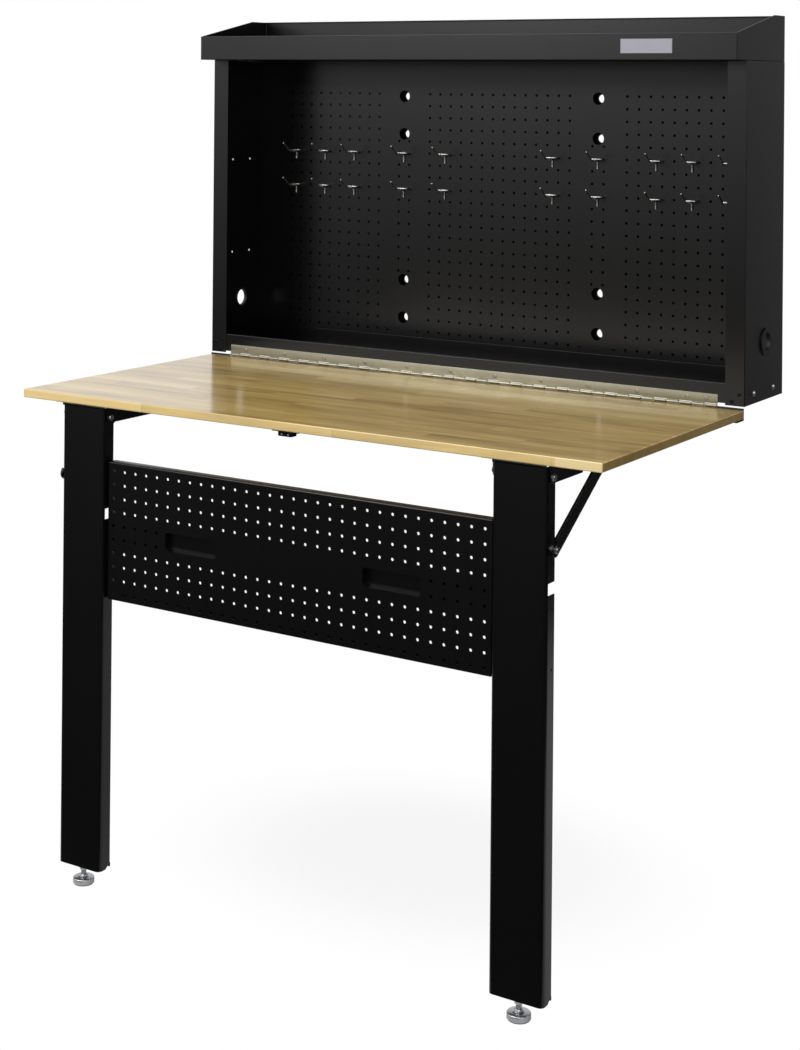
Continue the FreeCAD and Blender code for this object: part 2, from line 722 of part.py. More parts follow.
# ------------------------------------------------------------------ leg frame
def leg():
    """Right leg: channel with rounded front corners, rounded top and notches for the cross bolt."""
    x0, x1 = leg_spread - leg_outer, leg_spread + leg_outer
    path = [(x0, leg_rear_y, leg_bottom_z), (x0, leg_front_y, leg_bottom_z),
            (x1, leg_front_y, leg_bottom_z), (x1, leg_rear_y, leg_bottom_z)]
    channel = folded(path, leg_sheet, Z_AXIS * (leg_top_z - leg_bottom_z), leg_bend_inside)
    across, start_x = leg_width + 2 * play, x0 - play
    heel = [(start_x, leg_rear_y - heel_depth, leg_bottom_z), (start_x, leg_rear_y, leg_bottom_z + heel_height),
            (start_x, leg_rear_y, leg_bottom_z)]
    rear_top = box(start_x, x1 + play, pivot_y, leg_rear_y + play, pivot_z, leg_top_z + play)
    rounding = disc(leg_top_radius, (start_x, pivot_y, pivot_z), X_AXIS, across, large_disc_sides)
    cuts = [rear_top.cut(rounding)]
    cuts.append(prism(heel, X_AXIS * across))
    notch_z = pivot_z - stay_reach
    cuts.append(box(start_x, x1 + play, pivot_y - notch_reach, leg_rear_y + play,
                    notch_z - notch_height / 2, notch_z + notch_height / 2))
    cuts.append(rod(pivot_radius + running_gap, (start_x, pivot_y, pivot_z), X_AXIS, across))
    cuts.append(disc(pivot_radius, (leg_spread, pivot_y, stud_z), X_AXIS, leg_width))
    cuts += [hexagon(fixing_dot_radius, (start_x, fixing_dot_y(), z), X_AXIS, across)
             for z in fixing_dot_zs()]
    return channel.cut(cuts)


def fixing_dot_y():
    """Depth of the holes that take the lower panel's screws."""
    return lower_back_y + lower_return / 2


def fixing_dot_zs():
    """Heights of the holes that take the lower panel's screws."""
    return [leg_bottom_z + height for height in fixing_dot_heights]


def foot_centre(z):
    """A point on the right foot's axis."""
    return (leg_spread, leg_front_y + leg_depth / 2, z)


def foot_cap():
    """Right end cap of the leg: a floor bored for the foot's stem, and a raised rear wall."""
    half = leg_outer - leg_sheet
    x0, z0 = leg_spread - half, leg_bottom_z
    y0, y1 = leg_front_y + leg_sheet, leg_rear_y + cap_overhang
    y2, z2 = y1 - cap_thickness, z0 + cap_rear_height
    profile = [(x0, y0, z0), (x0, y1 - heel_depth, z0), (x0, y1, z0 + heel_height), (x0, y1, z2), (x0, y2, z2),
               (x0, y2, z0 + heel_height + play), (x0, y2 - heel_depth + cap_thickness, z0 + cap_thickness),
               (x0, y0, z0 + cap_thickness)]
    cap = prism(profile, X_AXIS * 2 * half)
    corners = [e for e in cap.Edges if e.BoundBox.ZLength > play and e.BoundBox.YMax < y0 + play]
    cap = cap.makeFillet(leg_bend_inside, corners)
    return cap.cut(rod(stem_radius + running_gap, foot_centre(leg_bottom_z), Z_AXIS, cap_thickness))


def foot_nut():
    """Right nut under the end cap, which the stem screws through."""
    start = foot_centre(leg_bottom_z - foot_nut_height)
    nut = hexagon(foot_nut_radius, start, Z_AXIS, foot_nut_height)
    return nut.cut(rod(stem_radius + running_gap, start, Z_AXIS, foot_nut_height))


def stay_stud():
    """Right headed stud on the leg that the stay hooks over, with its collar, washer and nut."""
    flange_out = leg_spread + leg_outer
    nut_x = flange_out - leg_sheet - nut_height
    washer_x = leg_spread + stay_x + stay_thickness + play / 2
    collar_length = stay_x - play / 2 - leg_outer
    return fuse([hexagon(bolt_head_radius, (nut_x, pivot_y, stud_z), X_AXIS, nut_height),
                 disc(pivot_radius, (nut_x, pivot_y, stud_z), X_AXIS, washer_x - nut_x),
                 disc(stud_collar, (flange_out, pivot_y, stud_z), X_AXIS, collar_length),
                 disc(washer_radius, (washer_x, pivot_y, stud_z), X_AXIS, washer_thickness),
                 hexagon(bolt_head_radius, (washer_x + washer_thickness, pivot_y, stud_z), X_AXIS,
                         bolt_head_height)])


def lower_peg_places():
    """Modelled peg holes of the lower panel."""
    count = row_count(lower_height - lower_first_row - lower_peg_margin)
    rows = [row for row in range(0, count, peg_row_step) if row not in solid_rows]
    return [(column_x(column), lower_top_z - lower_first_row - row * pitch)
            for column in punched_columns(lower_half - lower_peg_margin) for row in rows]


def handle_outline(y, grow):
    """Outline of the right handle opening with rounded corners, grown by a wall thickness."""
    radius = handle_corner + grow
    half_w, half_h = handle_width / 2 + grow, handle_height / 2 + grow
    centre = FreeCAD.Vector(handle_x, y, stiffener_z)
    corners = []
    for quarter in range(4):
        sign_x, sign_z = (1, 1, -1, -1)[quarter], (-1, 1, 1, -1)[quarter]
        middle = centre + FreeCAD.Vector(sign_x * (half_w - radius), 0, sign_z * (half_h - radius))
        for chord in range(handle_chords + 1):
            turn = math.radians(90 * (quarter - 1 + chord / handle_chords))
            corners.append(middle + X_AXIS * (radius * math.cos(turn)) + Z_AXIS * (radius * math.sin(turn)))
    return Part.makePolygon(corners + corners[:1])


def lower_perforated_panel():
    """Perforated panel between the legs: returned edges, side flanges and two handle openings."""
    wires = [peg_wire(x, lower_front_y, z) for x, z in lower_peg_places()]
    wires += [handle_outline(lower_front_y, 0), mirrored(handle_outline(lower_front_y, 0))]
    face = perforated((-lower_half, lower_half, lower_bottom_z, lower_top_z), wires, lower_front_y)
    rear_y = lower_back_y + lower_return
    side = box(lower_half - sheet, lower_half, lower_back_y, rear_y, lower_bottom_z, lower_top_z)
    edge = box(-lower_half, lower_half, lower_back_y, rear_y, lower_top_z - sheet, lower_top_z)
    low_edge = edge.translated(Z_AXIS * (sheet - lower_height))
    panel = fuse([face, side, mirrored(side), edge, low_edge])
    depth = fixing_dot_y()
    cuts = [screw_hole((lower_half - sheet, depth, z), X_AXIS, sheet) for z in fixing_dot_zs()]
    return panel.cut(cuts + [mirrored(cut) for cut in cuts])


def handle_liner():
    """Right liner around a handle opening, between the panel and the stiffener."""
    outer = Part.Face(handle_outline(lower_back_y, sheet)).extrude(Y_AXIS * handle_depth)
    return outer.cut(Part.Face(handle_outline(lower_back_y, 0)).extrude(Y_AXIS * handle_depth))


def stiffener_rail():
    """Channel behind the solid rows, which also backs the handle openings."""
    half = stiffener_height / 2
    x0 = sheet - lower_half
    web_y = lower_back_y + handle_depth + sheet
    path = [(x0, lower_back_y, stiffener_z + half), (x0, web_y, stiffener_z + half),
            (x0, web_y, stiffener_z - half), (x0, lower_back_y, stiffener_z - half)]
    return folded(path, -sheet, X_AXIS * -2 * x0)


def lower_panel_screws():
    """Screws through the panel's side flanges and their spacers into the legs."""
    pieces = []
    spacer_length = leg_spread - leg_outer - lower_half
    for z in fixing_dot_zs():
        spacer = hexagon(screw_head_radius, (lower_half, fixing_dot_y(), z), X_AXIS, spacer_length)
        grip = sheet + spacer_length + leg_sheet
        pieces.append(fuse([screw((lower_half - sheet, fixing_dot_y(), z), X_AXIS, grip), spacer]))
    return Part.makeCompound(pieces + [mirrored(piece) for piece in pieces])


# ------------------------------------------------------------------ stays and feet
def stay():
    """Right stay: flat bar with a bored upper end and an open hook at the lower end."""
    length = math.hypot(stay_reach, stay_drop)
    tilt = math.degrees(math.atan2(stay_drop, stay_reach))
    half = stay_width / 2
    bar = fuse([box(0, stay_thickness, -length, 0, -half, half),
                rod(half, (0, 0, 0), X_AXIS, stay_thickness),
                rod(half, (0, -length, 0), X_AXIS, stay_thickness)])
    mouth = box(0, stay_thickness, -stay_mouth, stay_mouth, 0, stay_width)
    mouth = mouth.fuse(rod(stay_mouth, (0, 0, 0), X_AXIS, stay_thickness))
    mouth.rotate(FreeCAD.Vector(0, 0, 0), X_AXIS, mouth_lean() - tilt)
    mouth.translate(Y_AXIS * -length)
    bar = bar.cut([mouth, rod(pivot_radius + running_gap, (0, 0, 0), X_AXIS, stay_thickness)])
    bar.rotate(FreeCAD.Vector(0, 0, 0), X_AXIS, tilt)
    bar.translate(FreeCAD.Vector(leg_spread + stay_x, stay_pivot_y, pivot_z))
    return bar


def mouth_lean():
    """Lean of the hook's mouth from the vertical, along the path by which the stud leaves it."""
    swing_ratio = (180 - math.degrees(math.atan2(stay_drop, stay_reach))) / 90
    along_y = stay_drop * (1 - swing_ratio)
    along_z = stay_reach * swing_ratio
    return math.degrees(math.atan2(-along_y, along_z))


def foot_pad():
    """Right foot pad: round pad with a bevelled top, and a hexagonal neck."""
    pad = disc(pad_radius, foot_centre(floor_z), Z_AXIS, pad_height, large_disc_sides)
    top = [e for e in pad.Edges if e.BoundBox.ZMin > floor_z + pad_height - play]
    neck = hexagon(pad_neck_radius, foot_centre(floor_z + pad_height), Z_AXIS, pad_neck_height)
    return pad.makeChamfer(pad_bevel, top).fuse(neck)


def foot_stem():
    """Right threaded stem of the foot, which stands in the pad."""
    return rod(stem_radius, foot_centre(floor_z + pad_height + pad_neck_height), Z_AXIS, stem_length)


# ------------------------------------------------------------------ all nodes
def one_sided_nodes():
    """Nodes that span the bench or gather small pieces of both sides."""
    return {
        "bottom_panel": bottom_panel(),
        "top_tray": top_tray(),
        "blank_plate": blank_plate(),
        "perforated_back_panel": perforated_back_panel(),
        "back_plate": back_plate(),
        "upper_hooks": hook_row(hook_rows[0]),
        "lower_hooks": hook_row(hook_rows[1]),
        "cabinet_side_screws": cabinet_side_screws(),
        "cabinet_flange_screws": cabinet_flange_screws(),
        "tool_panel_screws": tool_panel_screws(),
        "hinge_cabinet_leaf": hinge_cabinet_leaf(),
        "hinge_pin": hinge_pin(),
        "hinge_cabinet_screws": hinge_cabinet_screws(),
        "hinge_worktop_leaf": hinge_worktop_leaf(),
        "worktop_board": worktop_board(),
        "rear_edge_angle": rear_edge_angle(),
        "front_catch": front_catch(),
        "leg_pivot_bolts": pair(leg_pivot_bolt()),
        "leg_pivot_nuts": pair(leg_pivot_nut()),
        "stay_pivot_bolts": pair(stay_pivot_bolt()),
        "stay_studs": pair(stay_stud()),
        "foot_nuts": pair(foot_nut()),
        "lower_perforated_panel": lower_perforated_panel(),
        "stiffener_rail": stiffener_rail(),
        "lower_panel_screws": lower_panel_screws(),
    }


def right_hand_nodes():
    """Right copies of the nodes that come as a left and a right one."""
    return {
        "side_panel": mirrored(side_panel()),
        "cable_grommet": mirrored(cable_grommet()),
        "wall_rail": wall_rail(),
        "outer_leg_bracket": bracket(True),
        "inner_leg_bracket": inner_side(bracket(False)),
        "leg": leg(),
        "foot_cap": foot_cap(),
        "handle_liner": handle_liner(),
        "stay": stay(),
        "foot_pad": foot_pad(),
        "foot_stem": foot_stem(),
    }


def main():
    """Build and write every node."""
    nodes = one_sided_nodes()
    for name, piece in right_hand_nodes().items():
        nodes["right_" + name] = piece
        nodes["left_" + name] = mirrored(piece)
    for node, shape in nodes.items():
        shape.exportStep("parts/%s.step" % node)


main()
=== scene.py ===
"""Dressed model of the wall mounted folding workbench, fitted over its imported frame."""
import sys
import logging
import math
from collections.abc import Callable, Sequence
from dataclasses import dataclass
from enum import Enum

import bmesh
import bpy
from mathutils import Matrix, Vector


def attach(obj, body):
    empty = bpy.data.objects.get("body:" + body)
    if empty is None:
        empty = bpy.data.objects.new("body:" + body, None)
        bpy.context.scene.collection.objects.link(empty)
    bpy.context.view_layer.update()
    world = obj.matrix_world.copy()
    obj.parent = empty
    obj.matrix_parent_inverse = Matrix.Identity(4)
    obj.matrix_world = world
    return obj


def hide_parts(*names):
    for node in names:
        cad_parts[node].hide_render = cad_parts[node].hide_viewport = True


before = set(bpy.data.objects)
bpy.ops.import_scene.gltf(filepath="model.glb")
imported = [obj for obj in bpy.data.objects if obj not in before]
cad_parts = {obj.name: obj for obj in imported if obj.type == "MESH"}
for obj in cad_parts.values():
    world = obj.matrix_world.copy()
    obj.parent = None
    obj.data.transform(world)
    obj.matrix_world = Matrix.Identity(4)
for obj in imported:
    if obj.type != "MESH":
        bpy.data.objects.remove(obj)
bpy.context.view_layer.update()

LOG = logging.getLogger("workbench")
MM = 0.001
Point = tuple[float, float, float]
Pair = tuple[float, float]
Object = bpy.types.Object
Mesh = bpy.types.Mesh


# ---------------------------------------------------------------- node trees
def _maths(operation: str) -> Callable[..., "Socket"]:
    """A Socket method that adds one Math node."""
    def method(self: "Socket", *values: "Socket | float") -> "Socket":
        """The Math node's value."""
        return self.graph.node("ShaderNodeMath", dict(enumerate((self, *values))), operation=operation)
    return method


class Socket:
    """A node's output; arithmetic on it adds Math nodes to the same tree."""

    __add__ = __radd__ = _maths("ADD")
    __sub__ = _maths("SUBTRACT")
    __mul__ = __rmul__ = _maths("MULTIPLY")
    __truediv__ = _maths("DIVIDE")
    __gt__ = _maths("GREATER_THAN")
    __lt__ = _maths("LESS_THAN")
    absolute = _maths("ABSOLUTE")
    floor = _maths("FLOOR")
    fraction = _maths("FRACT")
    largest = _maths("MAXIMUM")
    ping_pong = _maths("PINGPONG")

    def __init__(self, graph: "Graph", output: bpy.types.NodeSocket | None) -> None:
        """Wraps one output of a graph's tree."""
        self.graph = graph
        self.output = output

    def __rsub__(self, value: float) -> "Socket":
        """Difference from a number."""
        return self * -1.0 + value

    def other(self, name: str) -> "Socket":
        """Another output of the same node."""
        return Socket(self.graph, self.output.node.outputs[name])


class Graph:
    """Adds nodes to a shader or geometry tree."""

    def __init__(self, tree: bpy.types.NodeTree) -> None:
        """Starts on a tree."""
        self.tree = tree

    def node(self, kind: str, inputs: dict | None = None, output: int | str = 0, **settings: object) -> Socket:
        """Adds one node.

        Args:
            kind: Blender's type name of the node.
            inputs: Values, sockets or lists of sockets, by input name or index.
            output: Which output is returned.
            settings: Its properties; stops holds a colour ramp's positions and colours.

        Returns:
            The chosen output.
        """
        node = self.tree.nodes.new(kind)
        stops = settings.pop("stops", ())
        for name, value in settings.items():
            setattr(node, name, value)
        if stops:
            elements = node.color_ramp.elements
            while len(elements) < len(stops):
                elements.new(1.0)
            for element, (position, colour) in zip(elements, stops):
                element.position = position
                element.color = (*colour, 1.0)
        for name, value in (inputs or {}).items():
            for source in value if isinstance(value, list) else [value]:
                if isinstance(source, Socket):
                    self.tree.links.new(source.output, node.inputs[name])
                else:
                    node.inputs[name].default_value = source
        return Socket(self, node.outputs[output] if len(node.outputs) else None)

    def vector(self, x: Socket | float, y: Socket | float, z: Socket | float) -> Socket:
        """A vector of three values."""
        return self.node("ShaderNodeCombineXYZ", {0: x, 1: y, 2: z})

    def vectors(self, operation: str, *values: Socket | Point, output: int | str = 0) -> Socket:
        """A Vector Math node's result."""
        return self.node("ShaderNodeVectorMath", dict(enumerate(values)), output, operation=operation)

    def ramp(self, value: Socket, low: float, high: float, first: float, last: float) -> Socket:
        """A smooth change from one level to another.

        Args:
            value: What the level depends on.
            low: Where the change starts.
            high: Where it ends.
            first: Level before it.
            last: Level after it.

        Returns:
            The level.
        """
        return self.node("ShaderNodeMapRange", {"Value": value, "From Min": low, "From Max": high,
                                                "To Min": first, "To Max": last}, interpolation_type="SMOOTHSTEP")


def srgb(*screen: int) -> Point:
    """Linear colour of an 8 bit screen colour."""
    levels = [value / 255 for value in screen]
    return tuple(level / 12.92 if level <= 0.04045 else ((level + 0.055) / 1.055) ** 2.4 for level in levels)


def shade(colour: Point, share: float) -> Point:
    """A colour made darker or lighter."""
    return tuple(channel * share for channel in colour)


# ---------------------------------------------------------------- finishes
class Paint(Graph):
    """A material's shader tree, with the textures that the finishes share."""

    def __init__(self, material: bpy.types.Material) -> None:
        """Starts on an emptied material.

        Args:
            material: The material that the tree belongs to.
        """
        material.use_nodes = True
        super().__init__(material.node_tree)
        self.tree.nodes.clear()
        self.place = self.node("ShaderNodeTexCoord", output="Object")

    def stretched(self, scale: Point, place: Socket | None = None) -> Socket:
        """Coordinates scaled by axis; the object's own unless others are given."""
        return self.node("ShaderNodeMapping", {"Vector": place or self.place, "Scale": scale})

    def noise(self, scale: float, detail: float, place: Socket | None = None) -> Socket:
        """A noise value from 0 to 1."""
        return self.node("ShaderNodeTexNoise", {"Vector": place or self.place, "Scale": scale, "Detail": detail})

    def mix(self, factor: Socket, first: Point | Socket, second: Point | Socket) -> Socket:
        """A colour between two colours; the factor is the share of the second."""
        colours = [value if isinstance(value, Socket) else (*value, 1.0) for value in (first, second)]
        return self.node("ShaderNodeMix", {0: factor, 6: colours[0], 7: colours[1]}, 2, data_type="RGBA")

    def bump(self, height: Socket, strength: float, distance: float) -> Socket:
        """A surface normal from a height."""
        return self.node("ShaderNodeBump", {"Height": height, "Strength": strength, "Distance": distance})

    def surface(self, **inputs: object) -> None:
        """Ends the tree in one Principled surface; names use underscores for spaces."""
        shader = self.node("ShaderNodeBsdfPrincipled",
                           {name.replace("_", " "): value for name, value in inputs.items()})
        self.node("ShaderNodeOutputMaterial", {"Surface": shader})


@dataclass(frozen=True)
class Finish:
    """What every finish has: a name, and a way to paint its material once."""

    name: str

    def material(self) -> bpy.types.Material:
        """The finish's material, made at first use."""
        key = self.name + "_finish"
        if key not in bpy.data.materials:
            self.paint(Paint(bpy.data.materials.new(key)))
        return bpy.data.materials[key]

    def paint(self, paint: Paint) -> None:
        """Builds the shader tree."""
        raise NotImplementedError


@dataclass(frozen=True)
class PowderCoat(Finish):
    """Satin powder coat with a faint orange peel."""

    colour: Point = srgb(6, 6, 6)
    gloss: float = 0.25
    reflectance: float = 0.37
    peel_scale: float = 650.0
    peel_depth: float = 0.2 * MM

    def paint(self, paint: Paint) -> None:
        """Builds the shader tree.

        Args:
            paint: The tree to build in.
        """
        cloud = paint.noise(6.0, 3.0)
        grain = paint.noise(self.peel_scale, 2.0)
        smear = paint.noise(3.0, 4.0, paint.stretched((1.0, 1.0, 0.35)))
        paint.surface(Base_Color=paint.mix(cloud, self.colour, shade(self.colour, 1.25)),
                      Roughness=self.gloss + (smear - 0.5) * 0.08 + (grain - 0.5) * 0.05,
                      Specular_IOR_Level=self.reflectance, Normal=paint.bump(grain, 0.15, self.peel_depth))


@dataclass(frozen=True)
class LacqueredBoard(Finish):
    """Finger jointed staves along X under a clear gloss lacquer, with a painted highlight on the front face and
    darker end faces, partly end grain and partly painted shade.
    """

    stave_width: float = 0.042
    stave_length: float = 0.42
    stagger: float = 0.618
    first_joint: float = 0.767
    finger_pitch: float = 0.0045
    finger_depth: float = 0.009
    joint_width: float = 0.0006
    # Painted highlight: the front face, in front of this y, is mixed towards the light tone, and more so right of the
    # next x.
    highlight_front: float = -0.797
    brighter_highlight_from: float = 0.527
    # Beyond this x the end faces are painted darker: partly the end grain's own tone, partly painted shade.
    end_grain_and_shade: float = 0.6095
    grain_scale: Point = (1.2, 24.0, 24.0)
    patch_scale: Point = (2.4, 17.0, 17.0)
    pore_scale: Point = (6.0, 330.0, 330.0)
    light: Point = srgb(227, 206, 154)
    middle: Point = srgb(209, 177, 104)
    dark: Point = srgb(150, 120, 60)

    def paint(self, paint: Paint) -> None:
        """Builds the shader tree.

        Args:
            paint: The tree to build in.
        """
        x = paint.node("ShaderNodeSeparateXYZ", {0: paint.place})
        y = x.other("Y")
        row_place = y / self.stave_width + 40.5
        row = row_place.floor()
        offset = (row * self.stagger + self.first_joint).fraction() * self.stave_length
        fingers = y.ping_pong(self.finger_pitch) / self.finger_pitch * self.finger_depth
        along = (x + fingers + offset) / self.stave_length + 20.0
        cell = along.floor()
        tone, second = self._chance(paint, row, cell), self._chance(paint, cell, row)
        seam = self._line(row_place, self.joint_width / self.stave_width)
        joint = seam.largest(self._line(along, self.joint_width / self.stave_length))
        drift = paint.vectors("ADD", paint.place, paint.vector(tone * 7.0, second * 5.0, tone * 3.0))
        grain = paint.noise(3.2, 5.0, paint.stretched(self.grain_scale, drift))
        patch = paint.noise(1.6, 4.0, paint.stretched(self.patch_scale, drift))
        pores = paint.noise(3.0, 3.0, paint.stretched(self.pore_scale, drift))
        wood = paint.node("ShaderNodeValToRGB", {0: tone * 0.36 + patch * 1.25 + grain * 0.45 - 0.60},
                          stops=[(0.0, self.dark), (0.5, self.middle), (1.0, self.light)])
        # Painted highlight on the front face, stronger on its right part.
        front_highlight = (y < self.highlight_front) * (0.35 + (x > self.brighter_highlight_from) * 0.5)
        # The third layer darkens the end faces: partly the end grain's own tone, partly painted shade.
        layers = (((grain - 0.5).absolute() * 0.8, self.dark), (front_highlight, self.light),
                  ((x.absolute() > self.end_grain_and_shade) * 0.8, shade(self.dark, 0.6)),
                  ((pores > 0.63) * 0.20, shade(self.dark, 0.55)), (joint * 0.24, shade(self.dark, 0.35)))
        for share, colour in layers:
            wood = paint.mix(share, wood, colour)
        paint.surface(Base_Color=wood, Roughness=0.34 + (pores - 0.5) * 0.12, Specular_IOR_Level=0.4,
                      Coat_Weight=1.0, Coat_Roughness=0.15, Coat_IOR=1.5,
                      Normal=paint.bump(pores * 0.5 - joint, 0.05, 0.3 * MM))

    @staticmethod
    def _chance(paint: Paint, first: Socket, second: Socket) -> Socket:
        """A random value from 0 to 1 for a pair of whole numbers."""
        pair = paint.vector(first, second, 4.7)
        return paint.node("ShaderNodeTexWhiteNoise", {"Vector": pair}, noise_dimensions="3D")

    @staticmethod
    def _line(value: Socket, width: float) -> Socket:
        """1 along each whole number of a value, in a line of a given width."""
        return value.ping_pong(0.5) < width


@dataclass(frozen=True)
class BrightMetal(Finish):
    """Plated steel with fine drawing lines and a few dull patches."""

    colour: Point
    gloss: float
    lines: Point
    line_depth: float = 0.10

    def paint(self, paint: Paint) -> None:
        """Builds the shader tree.

        Args:
            paint: The tree to build in.
        """
        drawn = paint.noise(2.0, 3.0, paint.stretched(self.lines))
        patch = paint.noise(28.0, 3.0)
        paint.surface(Base_Color=paint.mix(patch, self.colour, shade(self.colour, 0.74)), Metallic=1.0,
                      Roughness=self.gloss + (patch - 0.5) * 0.18 + (drawn - 0.5) * 0.10,
                      Normal=paint.bump(drawn, self.line_depth, 0.2 * MM))


@dataclass(frozen=True)
class Moulded(Finish):
    """Black rubber or plastic with a dull skin."""

    colour: Point
    gloss: float

    def paint(self, paint: Paint) -> None:
        """Builds the shader tree.

        Args:
            paint: The tree to build in.
        """
        skin, bloom = paint.noise(900.0, 2.0), paint.noise(14.0, 3.0)
        paint.surface(Base_Color=paint.mix(bloom, self.colour, shade(self.colour, 1.6)),
                      Roughness=self.gloss + (bloom - 0.5) * 0.15, Specular_IOR_Level=0.35,
                      Normal=paint.bump(skin, 0.2, 0.2 * MM))


@dataclass(frozen=True)
class PalePlate(Finish):
    """Plain satin plate of anodised sheet."""

    colour: Point = srgb(142, 140, 150)

    def paint(self, paint: Paint) -> None:
        """Builds the shader tree.

        Args:
            paint: The tree to build in.
        """
        brushed = paint.noise(2.0, 2.0, paint.stretched((4.0, 900.0, 900.0)))
        cloud = paint.noise(30.0, 2.0)
        paint.surface(Base_Color=paint.mix(cloud, self.colour, shade(self.colour, 1.12)),
                      Roughness=0.38 + (brushed - 0.5) * 0.14, Metallic=0.15,
                      Normal=paint.bump(brushed, 0.08, 0.1 * MM))


@dataclass(frozen=True)
class WhiteFloor(Finish):
    """Plain white floor that keeps a faint shadow."""

    shadow_share: float = 0.15
    centre: Point = (0.0, -0.30, 0.0)
    near: float = 0.15
    far: float = 0.52
    mirrored: float = 0.15

    def paint(self, paint: Paint) -> None:
        """Builds the shader tree.

        Args:
            paint: The tree to build in.
        """
        away = paint.vectors("MULTIPLY", paint.vectors("SUBTRACT", paint.place, self.centre), (0.8, 1.0, 0.0))
        away = paint.vectors("LENGTH", away, output="Value")
        share = paint.ramp(away, self.near, self.far, 1.0 - self.shadow_share, 1.0)
        rays = paint.node("ShaderNodeLightPath", output="Is Camera Ray")
        seen = rays + rays.other("Is Glossy Ray") * self.mirrored + rays.other("Is Transmission Ray")
        lit = paint.node("ShaderNodeBsdfPrincipled", {"Base Color": (0.60, 0.60, 0.60, 1.0), "Roughness": 0.9})
        white = paint.node("ShaderNodeEmission", {"Color": (1.0, 1.0, 1.0, 1.0), "Strength": 1.0})
        shader = paint.node("ShaderNodeMixShader", {0: seen * share, 1: lit, 2: white})
        paint.node("ShaderNodeOutputMaterial", {"Surface": shader})


POWDER = PowderCoat("black_powder_coat")
BEECH = LacqueredBoard("lacquered_beech")
HINGE = BrightMetal("hinge_steel", srgb(156, 152, 133), 0.32, (3.0, 420.0, 420.0))
ZINC = BrightMetal("bright_zinc", srgb(196, 197, 200), 0.30, (60.0, 60.0, 60.0))
WIRE = BrightMetal("bright_wire", srgb(214, 214, 217), 0.26, (200.0, 200.0, 200.0), 0.05)
DARK_ZINC = BrightMetal("dark_zinc", srgb(38, 38, 40), 0.34, (80.0, 80.0, 80.0))
RUBBER = Moulded("black_rubber", srgb(12, 12, 12), 0.50)
PLASTIC = Moulded("black_plastic", srgb(9, 9, 9), 0.36)
PLATE = PalePlate("pale_plate")
FLOOR = WhiteFloor("white_floor")


# ---------------------------------------------------------------- meshes
def new_object(name: str, mesh: Mesh) -> Object:
    """Adds a mesh to the scene as an object at the origin.

    Args:
        name: The object's name.
        mesh: Its mesh.

    Returns:
        The object.
    """
    piece = bpy.data.objects.new(name, mesh)
    bpy.context.scene.collection.objects.link(piece)
    return piece


def smooth_by_angle(mesh: Mesh, degrees: float = 32.0) -> None:
    """Shades a mesh smooth, but for edges that turn more than an angle."""
    mesh.set_sharp_from_angle(angle=math.radians(degrees))
    for polygon in mesh.polygons:
        polygon.use_smooth = True


def softened(node: str, edge: float) -> Object:
    """A joined up copy of a solid with rounded edges.

    Args:
        node: The solid's name.
        edge: Width of the rounding.

    Returns:
        The copy, in plain mesh.
    """
    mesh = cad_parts[node].data.copy()
    mesh.materials.clear()
    work = bmesh.new()
    work.from_mesh(mesh)
    bmesh.ops.remove_doubles(work, verts=work.verts, dist=2e-6)
    bmesh.ops.dissolve_limit(work, angle_limit=math.radians(0.5), verts=work.verts, edges=work.edges)
    work.to_mesh(mesh)
    work.free()
    piece = new_object(node + "_dressed", mesh)
    if "custom_normal" in mesh.attributes:
        mesh.attributes.remove(mesh.attributes["custom_normal"])
    smooth_by_angle(mesh)
    bevel = piece.modifiers.new("rounded_edges", "BEVEL")
    bevel.width, bevel.segments = edge, 2
    bevel.limit_method, bevel.angle_limit = "ANGLE", math.radians(40.0)
    bevel.harden_normals = True
    return applied(piece)


def applied(piece: Object) -> Object:
    """Turns a piece's modifiers into plain mesh.

    Args:
        piece: The object.

    Returns:
        The same object, with no modifier left.
    """
    graph = bpy.context.evaluated_depsgraph_get()
    mesh = bpy.data.meshes.new_from_object(piece.evaluated_get(graph), depsgraph=graph)
    piece.modifiers.clear()
    piece.data = mesh
    return piece


def finished(name: str, work: bmesh.types.BMesh, finish: Finish, degrees: float = 32.0) -> Object:
    """Turns a worked mesh into an object with a finish.

    Args:
        name: The object's name.
        work: The worked mesh, which is freed.
        finish: The object's finish.
        degrees: Edges that turn less than this are shaded smooth.

    Returns:
        The new object.
    """
    mesh = bpy.data.meshes.new(name)
    work.to_mesh(mesh)
    work.free()
    smooth_by_angle(mesh, degrees)
    mesh.materials.append(finish.material())
    return new_object(name, mesh)


def turned(name: str, profile: Sequence[Pair], centre: Point, finish: Finish, segments: int) -> Object:
    """A piece turned about a vertical axis.

    Args:
        name: The piece's name.
        profile: Radius and height of each corner in millimetres, from the axis up and back to the axis.
        centre: The axis's foot.
        finish: Its finish.
        segments: Faces round the axis.

    Returns:
        The new object.
    """
    work = bmesh.new()
    rings = []
    for radius, height in ((r * MM, h * MM) for r, h in profile):
        turns = [2 * math.pi * step / segments for step in range(segments)] if radius else [0.0]
        rings.append([work.verts.new((centre[0] + radius * math.cos(a), centre[1] + radius * math.sin(a),
                                      centre[2] + height)) for a in turns])
    for low, high in zip(rings, rings[1:]):
        for step in range(segments):
            after = (step + 1) % segments
            corners = [low[step % len(low)], low[after % len(low)], high[after % len(high)], high[step % len(high)]]
            work.faces.new(list(dict.fromkeys(corners)))
    bmesh.ops.recalc_face_normals(work, faces=work.faces)
    return finished(name, work, finish)


def rounded_outline(centre: Pair, width: float, height: float, corner: float, steps: int = 6) -> list[Pair]:
    """Corners of a rectangle with rounded corners.

    Args:
        centre: Its middle.
        width: Full width.
        height: Full height.
        corner: Corner radius.
        steps: Edges in each corner.

    Returns:
        The points in order.
    """
    points = []
    for quarter, (sign_x, sign_z) in enumerate(((1, 1), (-1, 1), (-1, -1), (1, -1))):
        for step in range(steps + 1):
            turn = math.pi / 2 * (quarter + step / steps)
            points.append((centre[0] + sign_x * (width / 2 - corner) + corner * math.cos(turn),
                           centre[1] + sign_z * (height / 2 - corner) + corner * math.sin(turn)))
    return points


